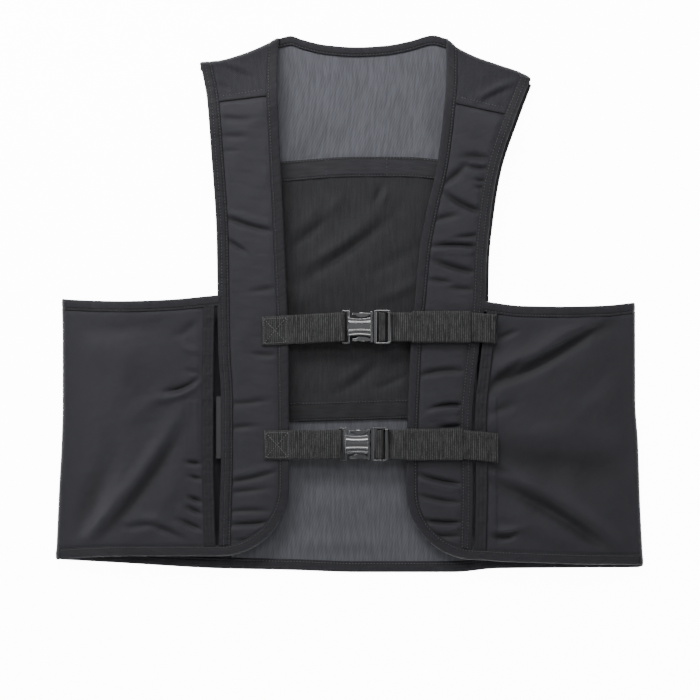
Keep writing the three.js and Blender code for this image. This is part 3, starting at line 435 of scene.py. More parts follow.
LEFT_YOKE_FOLDS = (
    Crease(233, 70, -26, 22, 4, -1.3, 3),
    Crease(232, 64, -26, 22, 5, 0.9, 3),
    Crease(224, 86, -20, 10, 3, -0.8, 0),
)
RIGHT_YOKE_FOLDS = (
    Crease(497, 88, 26, 26, 4.4, 2.0, -2),
    Crease(494, 95, 26, 24, 4, -1.7, -2),
    Crease(478, 70, -40, 24, 8, 0.6, 0),
)
POCKET_FOLDS = (
    Crease(312, 231, 43, 34, 5, -1.7, 3),
    Crease(304, 222, 43, 30, 7, 1.6, 3),
    Crease(330, 210, 50, 30, 6, 1.2, 4),
    Crease(350, 250, 36, 74, 6, -1.7, 6),
    Crease(344, 238, 36, 70, 9, 1.8, 6),
    Crease(338, 246, 33, 46, 5, 1.1, 3),
    Crease(379, 193, 66, 12, 3.2, -1.4, 1),
    Crease(385, 196, 66, 12, 4, 1.2, 1),
    Crease(392, 262, 30, 42, 7, -1.2, 4),
    Crease(400, 290, 26, 34, 6, 1.0, 3),
    Crease(362, 378, 38, 34, 5, -1.4, 3),
    Crease(355, 371, 38, 34, 6, 1.1, 3),
    Crease(392, 383, 24, 22, 4, -1.1, 2),
    Crease(300, 300, 20, 26, 8, 0.8, 2),
)
BACK_FOLDS = (
    Crease(318, 135, 66, 46, 7, 1.4, 4),
    Crease(372, 110, 74, 62, 9, 1.2, 3),
    Crease(402, 115, 80, 58, 8, -0.5, 2),
    Crease(424, 120, 84, 60, 6, 1.3, 2),
    Crease(300, 100, 70, 46, 8, 0.9, 2),
    Crease(340, 500, 8, 60, 16, 1.4, 6),
    Crease(352, 545, -2, 70, 8, 1.0, 4),
    Crease(300, 520, 40, 40, 8, 0.8, 2),
    Crease(400, 530, -30, 36, 8, 0.9, 2),
)
# Hollows are painted shade: they only darken the mesh and have no height in it.
BACK_SHADE_HOLLOWS = (
    Crease(309, 137, 64, 40, 9, -0.62, 3),
    Crease(346, 118, 70, 56, 8, -0.2, 3),
    Crease(400, 128, 78, 44, 7, -0.28, 3),
    Crease(424, 96, 82, 50, 8, -0.3, 3),
    Crease(286, 90, 88, 60, 6, -0.4, 0),
    Crease(437, 110, 84, 60, 5, -0.35, 0),
    Crease(330, 552, 6, 60, 7, -0.3, 2),
    Crease(372, 520, 14, 60, 9, -0.22, 3),
    Crease(318, 480, 40, 50, 9, -0.3, 3),
    Crease(408, 500, 74, 40, 8, -0.35, 0),
    Crease(350, 462, 2, 70, 5, -0.35, 0),
)


class Half:
    """One side of the vest, with its outlines as curves in metres."""

    def __init__(self, name: str, outline: Outline) -> None:
        """Makes the curves and the rounded lower corner.

        Args:
            name: The side's name.
            outline: The side's tables.
        """
        self.name = name
        self.side = outline.side
        self.front_edge = across_at(outline.up_front_edge)
        self.side_edge = across_at(outline.up_side_edge)
        self.slit_edge = across_at(outline.up_slit_edge)
        self.fold_edge = across_at(outline.up_fold_edge)
        self.back_arm = across_at(outline.up_back_arm)
        self.shoulder = up_at(outline.shoulder)
        self.yoke_seam = up_at(outline.yoke_seam)
        self.wing_top = up_at(outline.wing_top)
        self.front_hem = up_at(outline.front_hem)
        self.neck_x = outline.up_front_edge[0][1] * HALF_WIDTH
        self.shoulder_y = (outline.up_side_edge[0][0] - 0.5) * LENGTH
        corner_y = -LENGTH / 2 + LEVELS.corner
        corner_x = self.neck_x
        for _ in range(4):
            corner_x = float(self.front_edge(corner_y)) + self.side * LEVELS.corner
            corner_y = float(self.front_hem(corner_x)) + LEVELS.corner
        self.corner = (corner_x, corner_y)

    def height(self, x: Array, y: Array) -> Array:
        """Gives the middle height of the front at places, which rises from the folded edges."""
        reach = LEVELS.reach(1.2 * MM, LEVELS.back)
        from_side = self.side * (self.fold_edge(y) - x) - reach
        from_shoulder = self.shoulder(x) - reach - y
        share = smoothstep(from_side / LEVELS.rise_length)
        share = share * smoothstep(from_shoulder / LEVELS.rise_length)
        return LEVELS.fold_top + LEVELS.front_rise * share

    def on_front(self, x: Array, y: Array) -> Array:
        """Gives points on the middle of the front."""
        x, y = np.broadcast_arrays(x, y)
        return np.stack([x, y, self.height(x, y)], axis=-1)

    def over_shoulder(self, x: Array, thickness: float, back: float, steps: int) -> Array:
        """Gives lines of points over the shoulder fold, from its front to its lap on the back.

        Args:
            x: Where the lines cross the fold.
            thickness: The wall's thickness.
            back: The height of the wall's middle on the back.
            steps: How finely the fold is divided.

        Returns:
            Points, one row per step.
        """
        reach = LEVELS.reach(thickness, back)
        radius = reach - thickness / 2
        angles = np.append(np.linspace(0, math.pi, steps + 1)[1:], math.pi)[:, None]
        laps = np.append(np.zeros(steps), LEVELS.lap)[:, None]
        y = self.shoulder(x)[None] - reach + radius * np.sin(angles) - laps
        z = back + radius * (1 + np.cos(angles)) + 0 * y
        return np.stack([np.broadcast_to(x, y.shape), y, z], axis=-1)

    def above_hem(self, x: float, inset: float) -> float:
        """Gives the lowest Y inside the hem and the corner, at an inset from the outline."""
        inside = self.side * (self.corner[0] - x)
        inner = LEVELS.corner - inset
        if inside <= 0:
            return float(self.front_hem(x)) + inset
        return self.corner[1] - math.sqrt(max(inner**2 - inside**2, 0))


@dataclass
class Cloth:
    """A sheet of cloth: the middle of its wall as a grid of points, and its thickness there."""

    name: str
    middle: Array
    thickness: float | Array
    slot: Slot
    node: str
    held: Held = Held.LAID
    rests_on: Sequence[str] = ()
    shade: float | Array = 0.0
    also: Sequence[str] = ()

    def spans(self) -> tuple[Array, Array]:
        """Gives how far each point lies along and across the sheet's own surface."""
        along = np.linalg.norm(np.diff(self.middle, axis=0), axis=-1)
        across = np.linalg.norm(np.diff(self.middle, axis=1), axis=-1)
        v = np.vstack([np.zeros((1, self.middle.shape[1])), np.cumsum(along, axis=0)])
        u = np.hstack([np.zeros((self.middle.shape[0], 1)), np.cumsum(across, axis=1)])
        u = u - u.mean(axis=1, keepdims=True)
        return u, v

    def normals(self) -> Array:
        """Gives the direction that the sheet's outer face looks in, at each point."""
        along = np.gradient(self.middle, axis=0)
        across = np.gradient(self.middle, axis=1)
        normal = np.cross(across, along)
        return normal / np.maximum(np.linalg.norm(normal, axis=-1, keepdims=True), 1e-12)

    def build(self, material: bpy.types.Material) -> bpy.types.Object:
        """Args:
            material: The sheet's finish.

        Returns:
            The new object.
        """
        rows, columns = self.middle.shape[:2]
        half = np.broadcast_to(np.asarray(self.thickness) / 2, (rows, columns))[..., None]
        normal = self.normals()
        outer, inner = self.middle + normal * half, self.middle - normal * half
        points = np.concatenate([outer.reshape(-1, 3), inner.reshape(-1, 3)])
        index = np.arange(rows * columns).reshape(rows, columns)
        below = index + rows * columns
        a, b, c, d = index[:-1, :-1], index[:-1, 1:], index[1:, 1:], index[1:, :-1]
        top = np.stack([a, b, c, d], axis=-1).reshape(-1, 4)
        a, b, c, d = below[:-1, :-1], below[1:, :-1], below[1:, 1:], below[:-1, 1:]
        under = np.stack([a, b, c, d], axis=-1).reshape(-1, 4)
        rim = np.concatenate([
            index[0, :], index[1:, -1], index[-1, -2::-1], index[-2:0:-1, 0],
        ])
        after = np.roll(rim, -1)
        walls = np.stack([after, rim, rim + rows * columns, after + rows * columns], axis=-1)
        faces = np.concatenate([top, under, walls])
        mesh = bpy.data.meshes.new(self.name)
        mesh.from_pydata(points.tolist(), [], faces.tolist())
        u, v = self.spans()
        flat = np.stack([u, v], axis=-1).reshape(-1, 2)
        flat = np.concatenate([flat, flat])
        layer = mesh.uv_layers.new(name="weave")
        corners = np.zeros(len(mesh.loops), np.int32)
        mesh.loops.foreach_get("vertex_index", corners)
        layer.data.foreach_set("uv", flat[corners].astype(np.float32).ravel())
        # The painted shade along the sheet's seams and in its creases goes into an attribute that
        # darkens its finish.
        shade = np.broadcast_to(np.asarray(self.shade, float), (rows, columns)).ravel()
        painted_shade = mesh.attributes.new("painted_shade", "FLOAT", "POINT")
        painted_shade.data.foreach_set("value", np.tile(np.clip(shade, 0, 1), 2).astype(np.float32))
        mesh.materials.append(material)
        mesh.shade_smooth()
        thing = bpy.data.objects.new(self.name, mesh)
        bpy.context.scene.collection.objects.link(thing)
        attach(thing, "root")
        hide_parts(self.node, *self.also)
        self.declare()
        LOG.info("%s: %d faces", self.name, len(faces))
        return thing

    def declare(self) -> None:
        """Works out the edges of the sheet's cells along and across, and does nothing more with
        them.
        """
        side_a = self.middle[1:, :-1] - self.middle[:-1, :-1]
        side_b = self.middle[:-1, 1:] - self.middle[:-1, :-1]


STITCH_FACES = (
    (0, 1, 2), (0, 2, 3), (0, 3, 4), (0, 4, 1), (5, 2, 1), (5, 3, 2), (5, 4, 3), (5, 1, 4),
)


class Threads:
    """A run of machine stitches, each a small spindle of thread."""

    def __init__(self, name: str, slot: Slot, material: bpy.types.Material) -> None:
        """Starts an empty run.

        Args:
            name: The run's name.
            slot: The slot for its finish.
            material: The thread's finish.
        """
        self.name, self.slot, self.material = name, slot, material
        self.points: list[Array] = []
        self.faces: list[Array] = []

    def follow(
        self, line: Array, normal: Array, pitch: float = 3.2 * MM, wide: float = 0.32 * MM
    ) -> None:
        """Sews along a line.

        Args:
            line: Points that the stitches follow.
            normal: The outward direction at each point.
            pitch: How far apart the stitches are.
            wide: Half the width of a stitch.
        """
        steps = np.linalg.norm(np.diff(line, axis=0), axis=1)
        run = np.concatenate([[0], np.cumsum(steps)])
        count = int(run[-1] / pitch)
        if count < 1:
            return
        middles = (np.arange(count) + 0.5) * run[-1] / count

        def at(values: Array, place: Array) -> Array:
            """Reads a row of vectors at places along the line."""
            return np.stack([np.interp(place, run, values[:, k]) for k in range(3)], axis=1)

        half = 0.36 * pitch
        start, end, middle = (at(line, middles + shift) for shift in (-half, half, 0))
        out = at(normal, middles)
        out /= np.linalg.norm(out, axis=1, keepdims=True)
        along = (end - start) / np.linalg.norm(end - start, axis=1, keepdims=True)
        beside = np.cross(along, out) * wide
        lift = out * wide * 0.8
        ring = np.stack([
            start - lift * 0.3, middle + beside, middle + lift, middle - beside, middle - lift,
            end - lift * 0.3,
        ], axis=1)
        base = sum(len(p) for p in self.points)
        first = base + 6 * np.arange(count)[:, None, None]
        self.points.append(ring.reshape(-1, 3))
        self.faces.append((np.array(STITCH_FACES)[None] + first).reshape(-1, 3))

    def build(self) -> bpy.types.Object:
        """Makes the run's mesh and returns its object."""
        mesh = bpy.data.meshes.new(self.name)
        points = np.concatenate(self.points)
        faces = np.concatenate(self.faces)[:, ::-1]
        mesh.from_pydata(points.tolist(), [], faces.tolist())
        mesh.materials.append(self.material)
        mesh.shade_smooth()
        thing = bpy.data.objects.new(self.name, mesh)
        bpy.context.scene.collection.objects.link(thing)
        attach(thing, "root")
        LOG.info("%s: %d stitches", self.name, len(points) // 6)
        return thing


class Value:
    """A shader socket whose operators add Math nodes."""

    def __init__(self, tree: "ShaderTree", socket: bpy.types.NodeSocket) -> None:
        """Wraps a socket.

        Args:
            tree: The tree that it is in.
            socket: The output socket.
        """
        self.tree, self.socket = tree, socket

    def _with(self, operation: str, first: "Term", second: "Term" = 0.0) -> "Value":
        """Adds one Math node."""
        return self.tree.node(
            "ShaderNodeMath", {"operation": operation}, {0: first, 1: second}
        )

    def __add__(self, other: "Term") -> "Value":
        """Adds."""
        return self._with("ADD", self, other)

    __radd__ = __add__

    def __sub__(self, other: "Term") -> "Value":
        """Subtracts."""
        return self._with("SUBTRACT", self, other)

    def __rsub__(self, other: "Term") -> "Value":
        """Subtracts this from a number."""
        return self._with("SUBTRACT", other, self)

    def __mul__(self, other: "Term") -> "Value":
        """Multiplies."""
        return self._with("MULTIPLY", self, other)

    __rmul__ = __mul__

    def __pow__(self, other: "Term") -> "Value":
        """Raises to a power."""
        return self._with("POWER", self, other)

    def __abs__(self) -> "Value":
        """Drops the sign."""
        return self._with("ABSOLUTE", self)

    def sine(self) -> "Value":
        """Gives the sine."""
        return self._with("SINE", self)

    def ramp(self, low: float, high: float, start: float = 0.0, end: float = 1.0) -> "Value":
        """Eases from start to end as this goes from low to high."""
        return self.tree.node(
            "ShaderNodeMapRange",
            {"interpolation_type": "SMOOTHSTEP"},
            {"Value": self, "From Min": low, "From Max": high, "To Min": start, "To Max": end},
        )


Term = Value | float
Colour = tuple[float, float, float]


class ShaderTree:
    """A new material and the nodes that are added to it."""

    def __init__(self, name: str) -> None:
        """Starts an empty material.

        Args:
            name: The material's name.
        """
        self.material = bpy.data.materials.new(name)
        self.material.use_nodes = True
        self.nodes = self.material.node_tree.nodes
        self.links = self.material.node_tree.links
        self.nodes.clear()

    def node(
        self,
        kind: str,
        settings: dict[str, object] | None = None,
        sockets: dict[str | int, object] | None = None,
        output: str | int = 0,
    ) -> Value:
        """Adds a node.

        Args:
            kind: The node's type.
            settings: Its settings, set before its sockets.
            sockets: Values or links for its inputs.
            output: Which output to give back.

        Returns:
            The wrapped output.
        """
        made = self.nodes.new(kind)
        for key, value in (settings or {}).items():
            setattr(made, key, value)
        for key, value in (sockets or {}).items():
            if isinstance(value, Value):
                self.links.new(value.socket, made.inputs[key])
            else:
                made.inputs[key].default_value = value
        return Value(self, made.outputs[output]) if made.outputs else Value(self, None)

    def weave_place(self) -> tuple[Value, Value, Value]:
        """Gives the surface's own place in metres: as a vector, across and along."""
        place = self.node("ShaderNodeUVMap", {"uv_map": "weave"})
        across = self.node("ShaderNodeSeparateXYZ", None, {0: place}, "X")
        along = self.node("ShaderNodeSeparateXYZ", None, {0: place}, "Y")
        return place, across, along

    def darken_by_painted_shade(self, colour: Value, dark: Colour, strength: float = 0.85) -> Value:
        """Darkens a colour by the piece's painted shade, along its seams and in its creases."""
        painted_shade = self.node(
            "ShaderNodeAttribute",
            {"attribute_type": "GEOMETRY", "attribute_name": "painted_shade"},
            None,
            "Fac",
        )
        return self.blend(painted_shade * strength, colour, dark)

    def object_place(self) -> Value:
        """Gives the place in the object's own space."""
        return self.node("ShaderNodeTexCoord", None, None, "Object")

    def noise(self, place: Value, scale: float, detail: float = 3.0) -> Value:
        """Gives an even noise from 0 to 1."""
        return self.node(
            "ShaderNodeTexNoise",
            {"noise_dimensions": "3D"},
            {"Vector": place, "Scale": scale, "Detail": detail, "Roughness": 0.6},
        )

    def blend(self, share: Term, first: Colour | Value, second: Colour | Value) -> Value:
        """Mixes two colours."""
        made = self.nodes.new("ShaderNodeMix")
        made.data_type = "RGBA"
        for socket, value in (("Factor", share), ("A", first), ("B", second)):
            found = next(
                s for s in made.inputs
                if s.name == socket and s.type == ("VALUE" if socket == "Factor" else "RGBA")
            )
            if isinstance(value, Value):
                self.links.new(value.socket, found)
            else:
                found.default_value = (*value, 1.0) if isinstance(value, tuple) else value
        return Value(self, next(s for s in made.outputs if s.type == "RGBA"))

    def bump(self, height: Value, distance: float, strength: float = 1.0) -> Value:
        """Turns a height from 0 to 1 into a normal."""
        return self.node(
            "ShaderNodeBump",
            None,
            {"Height": height, "Distance": distance, "Strength": strength},
            "Normal",
        )

    def surface(self, sockets: dict[str, object]) -> bpy.types.Material:
        """Ends the tree in one shader.

        Args:
            sockets: The shader's values and links.

        Returns:
            The finished material.
        """
        shader = self.node("ShaderNodeBsdfPrincipled", None, sockets)
        self.node("ShaderNodeOutputMaterial", None, {"Surface": shader})
        return self.material


@dataclass(frozen=True)
class StretchCloth:
    """A smooth fine knit, matt and slightly blue."""

    name: str = "stretch_cloth"
    dark: Colour = (0.0063, 0.0062, 0.0082)
    light: Colour = (0.0136, 0.0134, 0.0172)
    # The colour of the painted shade along seams and in creases.
    painted_shade: Colour = (0.003, 0.003, 0.0035)
    pitch: float = 0.9 * MM
    roughness: float = 0.7

    def material(self) -> bpy.types.Material:
        """Makes the finish.

        Returns:
            The material.
        """
        tree = ShaderTree(self.name)
        place, across, along = tree.weave_place()
        wale = (across * (TAU / self.pitch)).sine()
        course = (along * (TAU / (self.pitch * 1.2)) + wale * 0.7).sine()
        knit = wale * 0.25 + course * 0.25 + 0.5
        cloud = tree.noise(place, 22.0, 4.0)
        grain = tree.noise(place, 900.0, 2.0)
        # Painted light: the cloth is lighter towards the shoulders and the left side, where the
        # key light from the upper left falls, and darker to the right.
        high = tree.node("ShaderNodeSeparateXYZ", None, {0: tree.object_place()}, "Y")
        aside = tree.node("ShaderNodeSeparateXYZ", None, {0: tree.object_place()}, "X")
        painted_light = high.ramp(-0.06, 0.17, 0.0, 0.3) + aside.ramp(-0.16, 0.24, 0.05, -0.16)
        share = cloud * 0.55 + grain * 0.25 + knit * 0.2 + painted_light
        colour = tree.blend(share, self.dark, self.light)
        return tree.surface({
            "Base Color": tree.darken_by_painted_shade(colour, self.painted_shade),
            "Roughness": self.roughness + (cloud - 0.5) * 0.12,
            "Specular IOR Level": 0.2,
            "Normal": tree.bump(knit, 0.00016, 0.7),
        })


@dataclass(frozen=True)
class OpenMesh:
    """A thin knitted mesh that what lies under it shows through."""

    name: str
    dark: Colour
    light: Colour
    pitch: float
    open_from: float
    clear: float
    streaks: float = 0.25
    fade: float = 1.0

    def material(self) -> bpy.types.Material:
        """Makes the finish.

        Returns:
            The material.
        """
        tree = ShaderTree(self.name)
        place, across, along = tree.weave_place()
        first = ((across * 0.8 + along * 0.6) * (math.pi / self.pitch)).sine()
        second = ((across * 0.8 - along * 0.6) * (math.pi / self.pitch)).sine()
        cell = abs(first * second)
        hole = cell.ramp(self.open_from, self.open_from + 0.25)
        skewed = tree.node(
            "ShaderNodeMapping",
            {"vector_type": "POINT"},
            {"Vector": place, "Rotation": (0, 0, math.radians(-14)), "Scale": (1.0, 0.09, 1.0)},
        )
        streak = tree.noise(skewed, 420.0, 2.0).ramp(0.32, 0.68)
        cloud = tree.noise(place, 14.0, 3.0)
        wave = ((across * 0.95 - along * 0.3) * (TAU / (2.7 * MM))).sine() * 0.5 + 0.5
        # Painted shade: from just above the middle of the vest down, the mesh's colour is mixed
        # towards a darker one, leaving the share fade of it at the bottom.
        high = tree.node("ShaderNodeSeparateXYZ", None, {0: tree.object_place()}, "Y")
        painted_light = high.ramp(-0.2, 0.05, self.fade, 1.0)
        yarn = cloud * 0.4 + streak * self.streaks + (1 - cell) * 0.2 + wave * 0.16 - 0.05
        painted_shade_colour = tuple(c * 0.35 for c in self.dark)
        colour = tree.blend(painted_light, painted_shade_colour, tree.blend(yarn, self.dark, self.light))
        return tree.surface({
            "Base Color": tree.darken_by_painted_shade(colour, tuple(c * 0.15 for c in self.dark)),
            "Roughness": 0.66 + cloud * 0.2,
            "Specular IOR Level": 0.18,
            "Alpha": 1 - hole * self.clear,
            "Normal": tree.bump(1 - cell, 0.0002, 0.6),
        })


@dataclass(frozen=True)
class BindingTape:
    """A folded binding with a fine rib along it, drawn in at its stitches."""

    name: str = "binding_tape"
    dark: Colour = (0.0034, 0.0033, 0.0046)
    light: Colour = (0.0094, 0.0091, 0.0124)
    # The colour of the painted shade along seams and in creases.
    painted_shade: Colour = (0.0022, 0.0022, 0.0026)
    rib: float = 1.0 * MM
    pucker: float = 6.4 * MM

    def material(self) -> bpy.types.Material:
        """Makes the finish.

        Returns:
            The material.
        """
        tree = ShaderTree(self.name)
        place, across, along = tree.weave_place()
        rib = (across * (TAU / self.rib)).sine() * 0.5 + 0.5
        cloud = tree.noise(place, 60.0, 4.0)
        grain = tree.noise(place, 1100.0, 2.0)
        pucker = (along * (TAU / self.pucker) + cloud * 6.0).sine() * 0.5 + 0.5
        # Besides the rib, the colour carries a painted shade that follows the puckers along the
        # tape.
        share = cloud * 0.45 + grain * 0.3 + rib * 0.15 + pucker * 0.1
        return tree.surface({
            "Base Color": tree.darken_by_painted_shade(tree.blend(share, self.dark, self.light), self.painted_shade),
            "Roughness": 0.62 + grain * 0.16,
            "Specular IOR Level": 0.2,
            "Normal": tree.bump(rib * 0.5 + grain * 0.3 + pucker * 0.4, 0.0003, 0.8),
        })


@dataclass(frozen=True)
class Webbing:
    """Ribbed woven webbing with a fine twill on its ribs."""

    name: str = "webbing"
    dark: Colour = (0.0012, 0.0012, 0.0012)
    light: Colour = (0.052, 0.0518, 0.053)
    yarn: float = 1.3 * MM
    rib: float = 2.15 * MM

    def material(self) -> bpy.types.Material:
        """Makes the finish.

        Returns:
            The material.
        """
        tree = ShaderTree(self.name)
        place, across, along = tree.weave_place()
        yarn = (across * (TAU / self.yarn)).sine() * 0.5 + 0.5
        twill = ((across * 0.9 + along) * (TAU / (self.yarn * 1.4))).sine() * 0.5 + 0.5
        grain = tree.noise(place, 650.0, 3.0)
        cloud = tree.noise(place, 70.0, 3.0)
        ridge = abs((along * (math.pi / self.rib) + (cloud - 0.5) * 1.6).sine())
        pulled = tree.node(
            "ShaderNodeMapping",
            {"vector_type": "POINT"},
            {"Vector": place, "Scale": (0.14, 1.0, 1.0)},
        )
        uneven = tree.noise(pulled, 520.0, 3.0).ramp(0.36, 0.64)
        speck = grain.ramp(0.4, 0.66)
        # The colour goes nearly black between the ribs: a painted shade in the grooves between
        # them.
        share = ridge ** 1.6 * (uneven * 0.5 + yarn * 0.1 + speck * 0.45) * 0.85 - 0.02
        return tree.surface({
            "Base Color": tree.darken_by_painted_shade(tree.blend(share, self.dark, self.light), self.dark),
            "Roughness": 0.58 + grain * 0.2,
            "Specular IOR Level": 0.2,
            "Normal": tree.bump(yarn * 0.3 + twill * 0.2 + ridge * 0.6 + grain * 0.4, 0.0003, 0.8),
        })


@dataclass(frozen=True)
class Thread:
    """Polyester sewing thread."""

    name: str = "thread"
    colour: Colour = (0.021, 0.021, 0.025)

    def material(self) -> bpy.types.Material:
        """Makes the finish.

        Returns:
            The material.
        """
        tree = ShaderTree(self.name)
        grain = tree.noise(tree.object_place(), 900.0, 2.0)
        lighter = tuple(c * 1.8 for c in self.colour)
        return tree.surface({
            "Base Color": tree.blend(grain, self.colour, lighter),
            "Roughness": 0.45 + grain * 0.15,
            "Normal": tree.bump(grain, 0.0001, 0.5),
        })


@dataclass(frozen=True)
class LoopTape:
    """Brushed closing tape."""

    name: str = "loop_tape"
    dark: Colour = (0.004, 0.004, 0.0052)
    light: Colour = (0.015, 0.015, 0.018)

    def material(self) -> bpy.types.Material:
        """Makes the finish.

        Returns:
            The material.
        """
        tree = ShaderTree(self.name)
        place = tree.object_place()
        fuzz = tree.noise(place, 1500.0, 4.0)
        cloud = tree.noise(place, 120.0, 2.0)
        return tree.surface({
            "Base Color": tree.blend(fuzz * 0.7 + cloud * 0.3, self.dark, self.light),
            "Roughness": 0.9,
            "Normal": tree.bump(fuzz, 0.0005, 0.8),
        })


@dataclass(frozen=True)
class MouldedPlastic:
    """Glossy black moulded plastic with a faint unevenness."""

    name: str = "moulded_plastic"
    dark: Colour = (0.007, 0.0074, 0.0086)
    light: Colour = (0.012, 0.0126, 0.0145)
    roughness: float = 0.13

    def material(self) -> bpy.types.Material:
        """Makes the finish.

        Returns:
            The material.
        """
        tree = ShaderTree(self.name)
        place = tree.object_place()
        cloud = tree.noise(place, 90.0, 3.0)
        scuff = tree.noise(place, 900.0, 4.0)
        return tree.surface({
            "Base Color": tree.blend(cloud, self.dark, self.light),
            "Roughness": self.roughness + scuff * 0.08,
            "Specular IOR Level": 0.8,
            "Normal": tree.bump(scuff * 0.3 + cloud, 0.00008, 0.4),
        })


@dataclass(frozen=True)
class PaleFloor:
    """A plain white table top."""

    name: str = "pale_floor"
    dark: Colour = (0.86, 0.86, 0.86)
    light: Colour = (0.9, 0.9, 0.9)

    def material(self) -> bpy.types.Material:
        """Makes the finish.

        Returns:
            The material.
        """
        tree = ShaderTree(self.name)
        cloud = tree.noise(tree.object_place(), 3.0, 2.0)
        return tree.surface({
            "Base Color": tree.blend(cloud, self.dark, self.light),
            "Roughness": 0.8,
            "Specular IOR Level": 0.2,
            "Emission Color": (1.0, 1.0, 1.0, 1.0),
            "Emission Strength": 12.0,
        })


@dataclass
class Finishes:
    """All finishes, each made once."""

    stretch: bpy.types.Material = field(init=False)
    back_mesh: bpy.types.Material = field(init=False)
    yoke_mesh: bpy.types.Material = field(init=False)
    pocket: bpy.types.Material = field(init=False)
    pocket_band: bpy.types.Material = field(init=False)
    binding: bpy.types.Material = field(init=False)
    webbing: bpy.types.Material = field(init=False)
    thread: bpy.types.Material = field(init=False)
    pale_thread: bpy.types.Material = field(init=False)
    tape: bpy.types.Material = field(init=False)
    plastic: bpy.types.Material = field(init=False)
    floor: bpy.types.Material = field(init=False)

    def __post_init__(self) -> None:
        """Makes the materials."""
        self.stretch = StretchCloth().material()
        self.back_mesh = OpenMesh(
            "back_mesh", (0.0255, 0.026, 0.031), (0.066, 0.068, 0.079), 1.0 * MM, 0.6, 0.06,
            0.35, 0.72,
        ).material()
        self.yoke_mesh = OpenMesh(
            "yoke_mesh", (0.0058, 0.0057, 0.0074), (0.015, 0.0148, 0.0186), 1.5 * MM, 0.7, 0.1, 0.3
        ).material()
        self.pocket = OpenMesh(
            "pocket_mesh", (0.0042, 0.0042, 0.005), (0.0132, 0.0132, 0.0148), 1.4 * MM, 0.9,
            0.02, 0.35,
        ).material()
        self.pocket_band = OpenMesh(
            "pocket_band", (0.0058, 0.0057, 0.007), (0.0175, 0.0172, 0.0205), 1.4 * MM, 0.9,
            0.02, 0.35,
        ).material()
        self.binding = BindingTape().material()
        self.webbing = Webbing().material()
        self.thread = Thread().material()
        self.pale_thread = Thread("pale_thread", (0.05, 0.05, 0.054)).material()
        self.tape = LoopTape().material()
        self.plastic = MouldedPlastic().material()
        self.floor = PaleFloor().material()


def strip(outer: Array, inner: Array, across: int = 9) -> Array:
    """Fills the space between two lines of points with a grid."""
    shares = np.linspace(0, 1, across)[None, :, None]
    return outer[:, None] * (1 - shares) + inner[:, None] * shares


def crowned(rows: int, across: int, thick: float, groove: float = 0.8) -> Array:
    """Gives the thickness of a folded binding: full in the middle, drawn in at its stitches.

    Args:
        rows: How many stations it has.
        across: How many points each station has.
        thick: The full thickness.
        groove: Where across it the stitch line lies, as a share.

    Returns:
        The thickness at each point.
    """
    u = np.linspace(0, 1, across)
    body = np.sqrt(np.clip(1 - np.abs(2 * u - 1) ** 3.2, 0.06, 1))
    drawn = 1 - 0.38 * np.exp(-(((u - groove) / 0.07) ** 2))
    return np.broadcast_to(thick * body * drawn, (rows, across))


def seam_shade(across: int, places: Sequence[float], wide: float = 0.05) -> Array:
    """Gives the painted shade at each point across a binding, in lines where its seams run."""
    u = np.linspace(0, 1, across)
    return np.clip(sum(np.exp(-(((u - place) / wide) ** 2)) for place in places), 0, 1)


def pucker(cloth: Cloth, size: float, waves: float, seed: int) -> None:
    """Lifts a binding unevenly along its length, as sewing does."""
    u, v = cloth.spans()
    lift = ripple(u * 0.4, v, size, waves, seed)
    cloth.middle = cloth.middle + cloth.normals() * lift[..., None]


